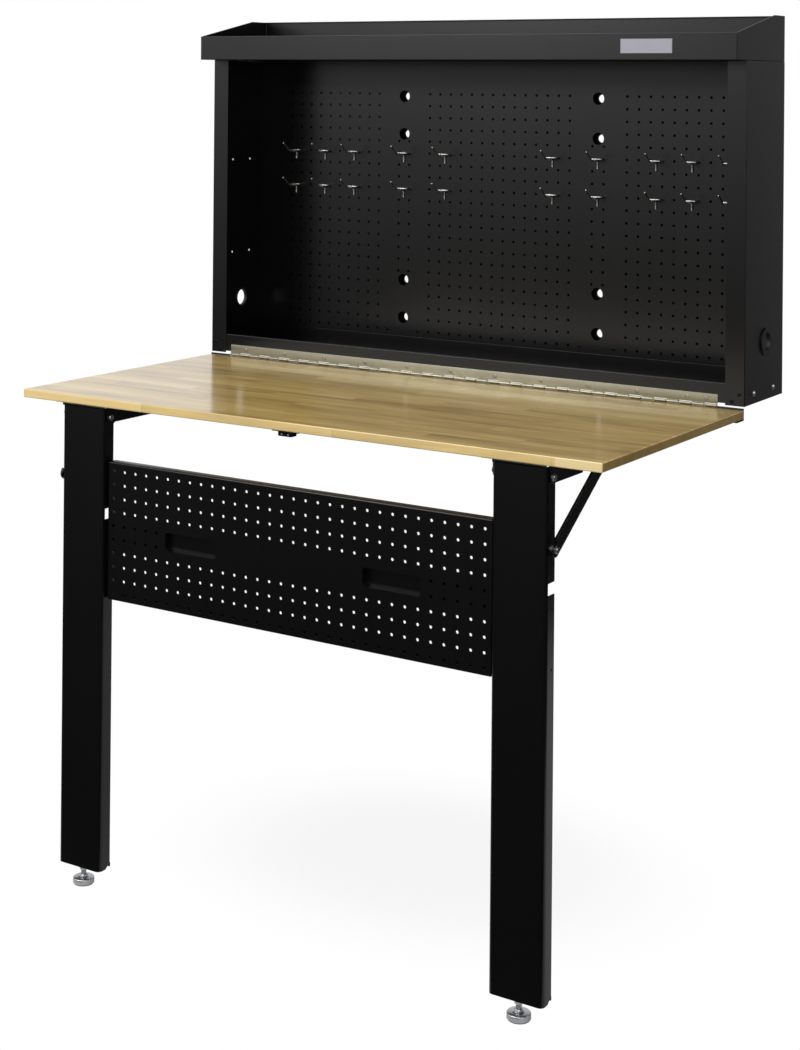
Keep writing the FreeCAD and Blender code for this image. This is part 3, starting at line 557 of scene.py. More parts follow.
def loft(name: str, loops: Sequence[Sequence[Point]], finish: Finish, closed: bool = True) -> Object:
    """A skin through loops of equally many points.

    Args:
        name: The piece's name.
        loops: The loops in order.
        finish: Its finish.
        closed: Whether the last loop joins the first; otherwise the two ends are filled.

    Returns:
        The new object.
    """
    work = bmesh.new()
    rows = [[work.verts.new(point) for point in loop] for loop in loops]
    pairs = list(zip(rows, rows[1:])) + ([(rows[-1], rows[0])] if closed else [])
    for low, high in pairs:
        for i in range(len(low)):
            j = (i + 1) % len(low)
            work.faces.new((low[i], low[j], high[j], high[i]))
    if not closed:
        work.faces.new(rows[0])
        work.faces.new(rows[-1])
    bmesh.ops.recalc_face_normals(work, faces=work.faces)
    return finished(name, work, finish)


def slab(name: str, low: Point, high: Point, edge: float, finish: Finish) -> Object:
    """A block with rounded edges.

    Args:
        name: The piece's name.
        low: Its lowest corner.
        high: Its highest corner.
        edge: Width of the rounding in millimetres.
        finish: Its finish.

    Returns:
        The new object.
    """
    work = bmesh.new()
    bmesh.ops.create_cube(work, size=1.0)
    for vert in work.verts:
        vert.co = Vector([lo if c < 0 else hi for c, lo, hi in zip(vert.co, low, high)])
    bmesh.ops.bevel(work, geom=list(work.edges), offset=edge * MM, segments=3, affect="EDGES", profile=0.5)
    return finished(name, work, finish, 40.0)


# ---------------------------------------------------------------- geometry trees
class Pattern(Graph):
    """A geometry tree with named inputs, run once on a mesh of points or edges."""

    def __init__(self, name: str, sizes: dict[str, float | int]) -> None:
        """Starts a tree.

        Args:
            name: The tree's name.
            sizes: Named inputs and their values; a whole number makes an integer input.
        """
        super().__init__(bpy.data.node_groups.new(name, "GeometryNodeTree"))
        self.sizes = sizes
        face = self.tree.interface
        kinds = {size: "Int" if isinstance(value, int) else "Float" for size, value in sizes.items()}
        for size, kind in {"geometry": "Geometry", **kinds, "finish": "Material"}.items():
            face.new_socket(size, in_out="INPUT", socket_type="NodeSocket" + kind)
        face.new_socket("geometry", in_out="OUTPUT", socket_type="NodeSocketGeometry")
        self.group = self.node("NodeGroupInput")

    def __getitem__(self, name: str) -> Socket:
        """One of the named inputs."""
        return self.group.other(name)

    def carried(self, name: str, kind: str) -> Socket:
        """A value that the points carry."""
        return self.node("GeometryNodeInputNamedAttribute", {"Name": name}, data_type=kind)

    def moved(self, shape: Socket, z: Socket | float = 0.0, y: Socket | float = 0.0,
              turn: Point = (0.0, 0.0, 0.0)) -> Socket:
        """A shape turned, then moved."""
        way = self.vector(0.0, y, z)
        return self.node("GeometryNodeTransform", {"Geometry": shape, "Translation": way, "Rotation": turn})

    def cylinder(self, sides: Socket | int, radius: Socket, depth: Socket, z: Socket | float = 0.0) -> Socket:
        """An upright cylinder; z is its middle."""
        shape = self.node("GeometryNodeMeshCylinder", {"Vertices": sides, "Radius": radius, "Depth": depth})
        return self.moved(shape, z)

    def cone(self, sides: Socket | int, top: Socket, bottom: Socket, depth: Socket, z: Socket) -> Socket:
        """An upright cone; z is its foot."""
        shape = self.node("GeometryNodeMeshCone", {"Vertices": sides, "Radius Top": top, "Radius Bottom": bottom,
                                                   "Depth": depth})
        return self.moved(shape, z)

    def box(self, x: Socket, y: Socket, z: Socket) -> Socket:
        """A box round the origin."""
        return self.node("GeometryNodeMeshCube", {"Size": self.vector(x, y, z)})

    def boolean(self, operation: str, inputs: dict[str, Socket | list[Socket]]) -> Socket:
        """What is left of meshes that cut each other."""
        return self.node("GeometryNodeMeshBoolean", inputs, operation=operation, solver="EXACT")

    def joined(self, *parts: Socket) -> Socket:
        """Several parts as one."""
        return self.node("GeometryNodeJoinGeometry", {"Geometry": list(parts)})

    def set_out(self, shape: Socket, **inputs: Socket) -> Socket:
        """A shape set at the points.

        Args:
            shape: What is set at each point.
            inputs: Further inputs of the node, with names that start small.

        Returns:
            The plain mesh or curve.
        """
        more = {name.capitalize(): value for name, value in inputs.items()}
        placed = self.node("GeometryNodeInstanceOnPoints", {"Points": self.group, "Instance": shape, **more})
        return self.node("GeometryNodeRealizeInstances", {"Geometry": placed})

    def run(self, name: str, mesh: Mesh, result: Socket, finish: Finish, smooth: float = 32.0) -> Object:
        """Ends the tree, runs it on a mesh and keeps the plain result.

        Args:
            name: The piece's name.
            mesh: Its points or edges.
            result: The tree's last geometry.
            finish: The finish that the tree sets.
            smooth: Edges that turn less than this many degrees are shaded smooth.

        Returns:
            The finished object, with no modifier left.
        """
        solid = self.node("GeometryNodeRealizeInstances", {"Geometry": result})
        dressed = self.node("GeometryNodeSetMaterial", {"Geometry": solid, "Material": self["finish"]})
        self.node("NodeGroupOutput", {0: dressed})
        piece = new_object(name, mesh)
        modifier = piece.modifiers.new(name, "NODES")
        modifier.node_group = self.tree
        values = {**self.sizes, "finish": finish.material()}
        for item in self.tree.interface.items_tree:
            if item.item_type == "SOCKET" and item.in_out == "INPUT" and item.name in values:
                modifier[item.identifier] = values[item.name]
        applied(piece)
        smooth_by_angle(piece.data, smooth)
        return piece


def point_mesh(name: str, points: Sequence[Point], edges: Sequence[tuple[int, int]] = (),
               **carried: Sequence[bool | float | Point]) -> Mesh:
    """A mesh of loose points or edges with the values that a geometry tree reads.

    Args:
        name: The mesh's name.
        points: Places.
        edges: Pairs of point numbers.
        carried: Values by name, one for each point: yes or no, numbers, or vectors.

    Returns:
        The mesh.
    """
    mesh = bpy.data.meshes.new(name)
    mesh.from_pydata(list(points), list(edges), [])
    for key, values in carried.items():
        kind, slot = "BOOLEAN" if isinstance(values[0], bool) else "FLOAT", "value"
        if isinstance(values[0], tuple):
            kind, slot, values = "FLOAT_VECTOR", "vector", [part for value in values for part in value]
        mesh.attributes.new(key, kind, "POINT").data.foreach_set(slot, values)
    return mesh


class Facing(Enum):
    """Which way a screw's head looks, as the turn that brings +Z there."""

    UP = (0.0, 0.0, 0.0)
    FRONT = (math.pi / 2, 0.0, 0.0)
    LEFT = (0.0, -math.pi / 2, 0.0)
    RIGHT = (0.0, math.pi / 2, 0.0)
    DOWN = (math.pi, 0.0, 0.0)


SIDEWAYS = ((-1, Facing.LEFT, Facing.RIGHT), (1, Facing.RIGHT, Facing.LEFT))   # side, outwards, inwards
Places = Sequence[tuple[Point, Facing]]


@dataclass
class Fastener:
    """Fasteners of one size; each field is a named input of the tree."""

    def make(self, name: str, places: Places, finish: Finish) -> Object:
        """Builds one piece with a fastener at each place.

        Args:
            name: The piece's name.
            places: The point on the face under each head, and the way that the head looks.
            finish: The fasteners' finish.

        Returns:
            The new object.
        """
        tree = Pattern(name, vars(self))
        mesh = point_mesh(name, [place for place, _ in places], turn=[facing.value for _, facing in places])
        set_out = tree.set_out(self.shape(tree), rotation=tree.carried("turn", "FLOAT_VECTOR"))
        return tree.run(name, mesh, set_out, finish)

    def shape(self, tree: Pattern) -> Socket:
        """One fastener, which looks up from the origin."""
        raise NotImplementedError


@dataclass
class ScrewSet(Fastener):
    """Cross recessed pan head screws of one size."""

    head_radius: float = 4.0 * MM
    head_height: float = 1.6 * MM
    recess_depth: float = 0.9 * MM
    recess_width: float = 0.9 * MM
    shank_radius: float = 1.7 * MM
    shank_length: float = 4.0 * MM
    flat_share: float = 0.66
    sides: int = 24

    def shape(self, tree: Pattern) -> Socket:
        """A skirt, a crown with a cross recess, and a shank.

        Args:
            tree: The tree to build in.

        Returns:
            The fastener's mesh.
        """
        radius, height, sides = tree["head_radius"], tree["head_height"], tree["sides"]
        skirt = tree.cylinder(sides, radius, height * 0.4, height * 0.2)
        crown = tree.cone(sides, radius * tree["flat_share"], radius, height * 0.6, height * 0.4)
        long, wide, depth = radius * 1.15, tree["recess_width"], tree["recess_depth"] * 2.0
        bars = [tree.box(*size) for size in ((long, wide, depth), (wide, long, depth))]
        cutters = [tree.moved(bar, height) for bar in bars]
        head = tree.boolean("DIFFERENCE", {"Mesh 1": crown, "Mesh 2": cutters})
        length = tree["shank_length"]
        return tree.joined(skirt, head, tree.cylinder(12, tree["shank_radius"], length, length * -0.5))


@dataclass
class HexSet(Fastener):
    """Chamfered hexagon heads or nuts, with an optional washer and shank."""

    across_corners: float = 11.6 * MM
    height: float = 3.5 * MM
    washer_radius: float = 6.8 * MM
    washer_height: float = 1.0 * MM
    shank_radius: float = 4.0 * MM
    shank_length: float = 0.0

    def shape(self, tree: Pattern) -> Socket:
        """A hexagon with its corners cut by a cone.

        Args:
            tree: The tree to build in.

        Returns:
            The fastener's mesh.
        """
        corner, height, lift = tree["across_corners"] * 0.5, tree["height"], tree["washer_height"]
        prism = tree.cylinder(6, corner, height)
        dome = tree.cone(48, corner * 0.84, corner * 1.55, height * 2.2, height * -1.7)
        head = tree.boolean("INTERSECT", {"Mesh 2": [prism, dome]})
        parts = [tree.moved(head, height * 0.5 + lift)]
        if self.washer_height:
            parts.append(tree.cylinder(40, tree["washer_radius"], lift, lift * 0.5))
        if self.shank_length:
            length = tree["shank_length"]
            parts.append(tree.cylinder(24, tree["shank_radius"], length, length * -0.5))
        return tree.joined(*parts)


def perforated(name: str, face_y: float, outlines: Sequence[Sequence[Pair]],
               holes: Sequence[tuple[float, float, float]]) -> Object:
    """A flat steel sheet with round holes and shaped openings, cut from closed outlines.

    Args:
        name: The piece's name.
        face_y: Its front face, in millimetres.
        outlines: Its border and its openings.
        holes: Across, height above the floor and radius of each hole, in millimetres.

    Returns:
        The new object.
    """
    points = [(x * MM, (height + FLOOR_Z) * MM, 0.0) for x, height, _ in holes]
    radii, edges = [radius * MM for _, _, radius in holes], []
    for outline in outlines:
        first, count = len(points), len(outline)
        points += [(x, z, 0.0) for x, z in outline]
        radii += [0.0] * count
        edges += [(first + i, first + (i + 1) % count) for i in range(count)]
    tree = Pattern(name, {"thickness": SHEET * MM, "face": face_y * MM, "hole_sides": 16})
    radius = tree.carried("radius", "FLOAT")
    border = tree.node("GeometryNodeMeshToCurve", {"Mesh": tree.group})
    circle = tree.node("GeometryNodeCurvePrimitiveCircle", {"Resolution": tree["hole_sides"], "Radius": 1.0})
    rings = tree.set_out(circle, scale=radius, selection=radius > 1e-6)
    sheet = tree.node("GeometryNodeFillCurve", {"Curve": tree.joined(border, rings)})
    sheet = tree.node("GeometryNodeMergeByDistance", {"Geometry": sheet, "Distance": 1e-6})
    walls = tree.node("GeometryNodeExtrudeMesh",
                      {"Mesh": sheet, "Offset": tree.vector(0.0, 0.0, -1.0), "Offset Scale": tree["thickness"],
                       "Individual": False}, mode="FACES")
    closed = tree.node("GeometryNodeMergeByDistance", {"Geometry": tree.joined(walls, sheet), "Distance": 1e-6})
    standing = tree.moved(closed, y=tree["face"], turn=Facing.FRONT.value)
    piece = tree.run(name, point_mesh(name, points, edges, radius=radii), standing, POWDER)
    work = bmesh.new()
    work.from_mesh(piece.data)
    bmesh.ops.recalc_face_normals(work, faces=work.faces)
    work.to_mesh(piece.data)
    work.free()
    return piece


# ---------------------------------------------------------------- sizes in millimetres
FLOOR_Z = -1249.0            # the floor below the middle of the wall fixings
PITCH = 25.4                 # between peg holes
SHEET = 1.5
HOLE = 2.75
LIP_Y = -193.5               # rear face of the cabinet's lip
LEG_X, FOOT_Y = 461.5, -780.5
PIVOT_Y, PIVOT_HEIGHT = -778.0, 883.0
STAY_OUT = 58.5              # outer face of a stay, from the leg's centre
STAY_HEAD = STAY_OUT + 0.25  # a bolt's head outside the stay


def at(x: float, y: float, height: float) -> Point:
    """A place from millimetres; height is above the floor."""
    return x * MM, y * MM, (height + FLOOR_Z) * MM


def rod(name: str, ends: Sequence[float], y: float, height: float, radius: float, sides: int) -> Object:
    """A plated round bar along X.

    Args:
        name: The piece's name.
        ends: Where it starts and ends.
        y: Its axis's place.
        height: Its axis's height above the floor.
        radius: Its radius.
        sides: Faces round it.

    Returns:
        The new object.
    """
    turns = [2 * math.pi * step / sides for step in range(sides)]
    loops = [[at(x, y + radius * math.cos(a), height + radius * math.sin(a)) for a in turns] for x in ends]
    return loft(name, loops, ZINC, closed=False)


# ---------------------------------------------------------------- the object
@dataclass(frozen=True)
class Assembly:
    """A sub-assembly with its sizes in millimetres; its pieces ride on one body unless they say otherwise."""

    body: str = ""

    def add(self, piece: Object, slot: str, *nodes: str, body: str = "") -> None:
        """Ties a finished piece to its body and hides the solids that it stands for.

        Args:
            piece: The finished object.
            slot: Its slot in the record; not used.
            nodes: The solids that it replaces.
            body: The body that it rides on, if that isn't the sub-assembly's own.
        """
        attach(piece, body or self.body)
        if nodes:
            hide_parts(*nodes)
        LOG.info("%s rides on %s with %d faces", piece.name, body or self.body, len(piece.data.polygons))

    def dress(self, finish: Finish, edge: float, *nodes: str, body: str = "") -> None:
        """Puts copies with rounded edges in place of solids.

        Args:
            finish: Their finish, which has the name of its slot.
            edge: Width of the rounding in millimetres.
            nodes: The solids.
            body: The body that they ride on, if that isn't the sub-assembly's own.
        """
        for node in nodes:
            piece = softened(node, edge * MM)
            piece.data.materials.clear()
            piece.data.materials.append(finish.material())
            self.add(piece, finish.name, node, body=body)


@dataclass(frozen=True)
class Cabinet(Assembly):
    """Steel cabinet on the wall, with its tool panel, tray, grommets, screws and peg hooks."""

    body: str = "cabinet"
    half_width: float = 610.0
    low: float = 926.0
    top: float = 1562.0
    front: float = -195.0
    panel_y: float = -20.0
    panel_low: float = 971.5
    columns: int = 42
    rows: int = 21
    top_row: float = 1492.0
    empty_columns: tuple[int, ...] = (10, 13)
    short_columns: tuple[int, ...] = (11, 12)
    short_rows: range = range(4, 16)
    access_x: float = 228.6
    access_heights: tuple[float, ...] = (1011.0, 1092.0, 1406.0, 1487.0)
    access_radius: float = 12.7
    side_screw_ys: Pair = (-50.0, -150.0)
    side_screw_height: float = 945.0
    corner_screws: tuple[Pair, ...] = ((10.4, 22.0), (24.6, 8.0))   # in from the side, up from the floor panel
    panel_screw_spread: float = 38.0
    hook_centres: tuple[int, ...] = (-20, -17, -14, -9, -5, 5, 9, 14, 17, 20)
    hook_rows: tuple[int, int] = (5, 8)
    wire_radius: float = 1.7
    wire_bend: float = 4.5
    wire_tip: float = 2.1
    standoff: float = 11.0
    prong: float = 9.5
    stem: float = 17.0
    reach: float = 30.0
    rise: float = 18.0
    run: float = 23.8

    def build(self) -> None:
        """Makes every piece of the cabinet."""
        self.dress(POWDER, 0.7, "left_side_panel", "right_side_panel", "bottom_panel", "top_tray", "back_plate",
                   "left_wall_rail", "right_wall_rail")
        self.dress(PLATE, 0.2, "blank_plate")
        self.dress(RUBBER, 0.5, "left_cable_grommet", "right_cable_grommet")
        self._tool_panel()
        self._screws()
        for node, row in zip(("upper_hooks", "lower_hooks"), self.hook_rows):
            self._hooks(node, row)

    def _row_height(self, row: int) -> float:
        """Height of a row of peg holes above the floor."""
        return self.top_row - row * PITCH

    def _tool_panel(self) -> None:
        """The perforated sheet at the back."""
        holes = []
        for column in range(self.columns):
            mirrored = min(column, self.columns - 1 - column)
            if mirrored in self.empty_columns:
                continue
            rows = self.short_rows if mirrored in self.short_columns else range(self.rows)
            holes += [((column - (self.columns - 1) / 2) * PITCH, self._row_height(row), HOLE) for row in rows]
        holes += [(side * self.access_x, height, self.access_radius)
                  for side in (-1, 1) for height in self.access_heights]
        x, low, top = (self.half_width - SHEET) * MM, (self.panel_low + FLOOR_Z) * MM, (self.top + FLOOR_Z) * MM
        sheet = perforated("tool_panel_sheet", self.panel_y, [[(-x, low), (x, low), (x, top), (-x, top)]], holes)
        self.add(sheet, POWDER.name, "perforated_back_panel")

    def _screws(self) -> None:
        """Bright and dark screws of the sheets."""
        sides = [(at(side * self.half_width, y, self.side_screw_height), out)
                 for side, out, _ in SIDEWAYS for y in self.side_screw_ys]
        domed = ScrewSet(head_radius=5.0 * MM, head_height=3.0 * MM, flat_share=0.42)
        self.add(domed.make("side_screw_heads", sides, ZINC), "zinc_fasteners", "cabinet_side_screws")
        corners = [(at(side * (self.half_width - inset), self.front, self.low + up), Facing.FRONT)
                   for side in (-1, 1) for inset, up in self.corner_screws]
        panel = [(at(side * self.access_x + shift, self.panel_y, self._row_height(self.rows - 1)), Facing.FRONT)
                 for side in (-1, 1) for shift in (-self.panel_screw_spread, self.panel_screw_spread)]
        for name, places, node in (("corner_screw_heads", corners, "cabinet_flange_screws"),
                                   ("panel_screw_heads", panel, "tool_panel_screws")):
            self.add(ScrewSet().make(name, places, DARK_ZINC), "dark_fasteners", node)

    def _hooks(self, node: str, row: int) -> None:
        """One row of bent wire hooks.

        Args:
            node: The solids that they replace.
            row: The row of holes that they hang in.
        """
        wire, height = self.wire_radius, self._row_height(row)
        under, half = height - 1.5 * wire, PITCH / 2
        front, back, stem, end = (self.panel_y + shift for shift in (-self.standoff, self.prong, -wire, -self.reach))
        points, tips, edges = [], [], []
        for x in (centre * PITCH for centre in self.hook_centres):
            tips.append(at(x, end - self.run, under + self.rise))
            prongs = [at(x - half, back, height), at(x - half, front, height), at(x + half, front, height),
                      at(x + half, back, height)]
            arm = [at(x, stem, under - self.stem), at(x, stem, under), at(x, end, under), tips[-1]]
            for path in (prongs, arm):
                edges += [(len(points) + i, len(points) + i + 1) for i in range(len(path) - 1)]
                points += path
        ends = [False] * len(points) + [True] * len(tips)
        tree = Pattern(node, {"wire_radius": wire * MM, "bend_radius": self.wire_bend * MM,
                              "tip_radius": self.wire_tip * MM, "sides": 12, "bend_steps": 5})
        path = tree.node("GeometryNodeMeshToCurve", {"Mesh": tree.group})
        path = tree.node("GeometryNodeFilletCurve", {"Curve": path, "Count": tree["bend_steps"], "Limit Radius": True,
                                                     "Radius": tree["bend_radius"]}, mode="POLY")
        ring = tree.node("GeometryNodeCurvePrimitiveCircle", {"Resolution": tree["sides"],
                                                              "Radius": tree["wire_radius"]})
        bars = tree.node("GeometryNodeCurveToMesh", {"Curve": path, "Profile Curve": ring, "Fill Caps": True})
        ball = tree.node("GeometryNodeMeshUVSphere", {"Segments": tree["sides"], "Rings": 8,
                                                      "Radius": tree["tip_radius"]})
        shape = tree.joined(bars, tree.set_out(ball, selection=tree.carried("tip", "BOOLEAN")))
        piece = tree.run(node + "_wire", point_mesh(node, points + tips, edges, tip=ends), shape, WIRE, 50.0)
        self.add(piece, WIRE.name, node)


@dataclass(frozen=True)
class PianoHinge(Assembly):
    """Long hinge between the cabinet's lip and the worktop's rear edge."""

    length: float = 1116.0
    axis_y: float = -196.4
    axis_height: float = 923.4
    upper_leaf: float = 21.0
    lower_leaf: float = 18.0
    knuckles: int = 44
    knuckle_radius: float = 2.9
    pin_radius: float = 1.35
    gap: float = 0.5
    seam: float = 0.7
    first_screw: float = 40.0
    last_screw: float = 23.0
    screw_step: float = 101.6

    def build(self) -> None:
        """Makes both leaves, their knuckles, the pin and the screws."""
        end, near, face = self.length / 2, self.knuckle_radius + self.seam, LIP_Y - SHEET
        axis, top, foot = self.axis_height, self.axis_height + self.upper_leaf, self.axis_height - self.lower_leaf
        upper = slab("upper_leaf", at(-end, face, axis + near), at(end, LIP_Y, top), 0.5, HINGE)
        self.add(upper, HINGE.name, "hinge_cabinet_leaf", body="cabinet")
        lower = slab("lower_leaf", at(-end, face, foot), at(end, LIP_Y, axis - near), 0.5, HINGE)
        self.add(lower, HINGE.name, "hinge_worktop_leaf", body="worktop")
        self._knuckles("cabinet", 0, 1)
        self._knuckles("worktop", 1, -1)
        pin = rod("pin_rod", (-end, end), self.axis_y, axis, self.pin_radius, 20)
        self.add(pin, HINGE.name, "hinge_pin", body="cabinet")
        height = axis + (self.knuckle_radius + self.upper_leaf) / 2
        places = [(at(x, face, height), Facing.FRONT)
                  for x in [self.first_screw - end + self.screw_step * index for index in range(11)]
                  + [end - self.last_screw]]
        screws = ScrewSet(head_radius=3.9 * MM, head_height=1.5 * MM).make("hinge_screw_heads", places, HINGE)
        self.add(screws, "zinc_fasteners", "hinge_cabinet_screws", body="cabinet")

    def _knuckles(self, body: str, first: int, side: int) -> None:
        """Every second knuckle, rolled from its leaf.

        Args:
            body: The body that they ride on.
            first: Number of the first knuckle.
            side: 1 where the leaf is above, -1 where it is below.
        """
        step = self.length / self.knuckles
        places = [at(-self.length / 2 + (index + 0.5) * step, self.axis_y, self.axis_height)
                  for index in range(first, self.knuckles, 2)]
        name = body + "_knuckles"
        tree = Pattern(name, {"radius": self.knuckle_radius * MM, "length": (step - self.gap) * MM,
                              "leaf": SHEET * MM, "side": float(side), "sides": 20, "rounding": 0.7 * MM,
                              "seam": (self.seam + 0.5) * MM})
        radius, length, leaf, rounding, sides = (tree[size] for size in ("radius", "length", "leaf", "rounding",
                                                                         "sides"))
        reach = radius + tree["seam"]
        middle = tree.cylinder(sides, radius, length - rounding * 2.0)
        far = tree.cone(sides, radius - rounding, radius, rounding, length * 0.5 - rounding)
        near = tree.moved(far, turn=Facing.DOWN.value)
        barrel = tree.moved(tree.joined(middle, far, near), turn=Facing.RIGHT.value)
        web = tree.moved(tree.box(length - rounding, leaf, reach), tree["side"] * reach * 0.5, radius - leaf * 0.5)
        piece = tree.run(name, point_mesh(name, places), tree.set_out(tree.joined(barrel, web)), HINGE)
        self.add(piece, HINGE.name, body=body)


@dataclass(frozen=True)
class Worktop(Assembly):
    """Wooden board with its rear angle, catch, leg brackets and bolts."""

    body: str = "worktop"
    top: float = 920.0
    low: float = 904.0
    front: float = -798.0
    rear: float = -198.0
    angle_end: Pair = (559.0, 609.0)
    bracket_face: float = 53.0                                      # outer face of a cheek, from the leg's centre
    stay_pivot_y: float = -598.0
    flange_x: float = 64.5                                          # a flange's screws, from the leg's centre
    flange_screw_ys: tuple[float, ...] = (-770.0, -712.0, -654.0, -598.0)
    angle_screw_y: float = -213.0
    catch_screws: Pair = (21.0, -783.0)

    def build(self) -> None:
        """Makes every piece of the worktop but the hinge."""
        self.dress(BEECH, 0.3, "worktop_board")
        self.dress(POWDER, 0.4, "rear_edge_angle", "front_catch", "left_outer_leg_bracket",
                   "left_inner_leg_bracket", "right_outer_leg_bracket", "right_inner_leg_bracket")
        inner, outer = self.angle_end
        for name, low, high in (("left_rear_edge_end", -outer, -inner), ("right_rear_edge_end", inner, outer)):
            self.add(slab(name, at(low, self.rear + 0.2, self.top - 1.5), at(high, LIP_Y - SHEET, self.top + 3.2),
                          0.4, POWDER), POWDER.name)
        bolts = [(at(side * (LEG_X + self.bracket_face), PIVOT_Y, PIVOT_HEIGHT), out) for side, out, _ in SIDEWAYS]
        nuts = [(at(side * (LEG_X - self.bracket_face), PIVOT_Y, PIVOT_HEIGHT), back) for side, _, back in SIDEWAYS]
        cross = [(at(side * (LEG_X + STAY_HEAD), self.stay_pivot_y, PIVOT_HEIGHT), out) for side, out, _ in SIDEWAYS]
        through = HexSet(shank_length=2 * self.bracket_face * MM)
        nut = HexSet(height=4.0 * MM, washer_height=0.0)
        long = HexSet(washer_height=0.0, shank_length=(self.bracket_face + STAY_OUT) * MM)
        for kind, name, places, node in ((through, "pivot_bolt_heads", bolts, "leg_pivot_bolts"),
                                         (nut, "pivot_lock_nuts", nuts, "leg_pivot_nuts"),
                                         (long, "cross_bolt_heads", cross, "stay_pivot_bolts")):
            self.add(kind.make(name, places, ZINC), "zinc_fasteners", node)
        self._underside_screws()

    def _underside_screws(self) -> None:
        """Wood screws through the flanges under the board."""
        spots = [(side * x, y, 2.5) for side in (-1, 1) for x in (LEG_X + self.flange_x, LEG_X - self.flange_x)
                 for y in self.flange_screw_ys]
        spots += [(x, self.angle_screw_y, 3.0) for x in range(-560, 561, 140)]
        spots += [(side * self.catch_screws[0], self.catch_screws[1], 2.0) for side in (-1, 1)]
        places = [(at(x, y, self.low - sheet), Facing.DOWN) for x, y, sheet in spots]
        heads = ScrewSet(shank_length=8.0 * MM).make("wood_screw_heads", places, DARK_ZINC)
        self.add(heads, "dark_fasteners")
        small = ScrewSet(1.6 * MM, 0.8 * MM, 0.4 * MM, 0.4 * MM, 0.8 * MM, 4.0 * MM)
        dots = [(at(x, self.front + 4.0, self.low - 6.5), Facing.FRONT) for x in (-7.0, 7.0)]
        self.add(small.make("catch_screw_heads", dots, ZINC), "zinc_fasteners")


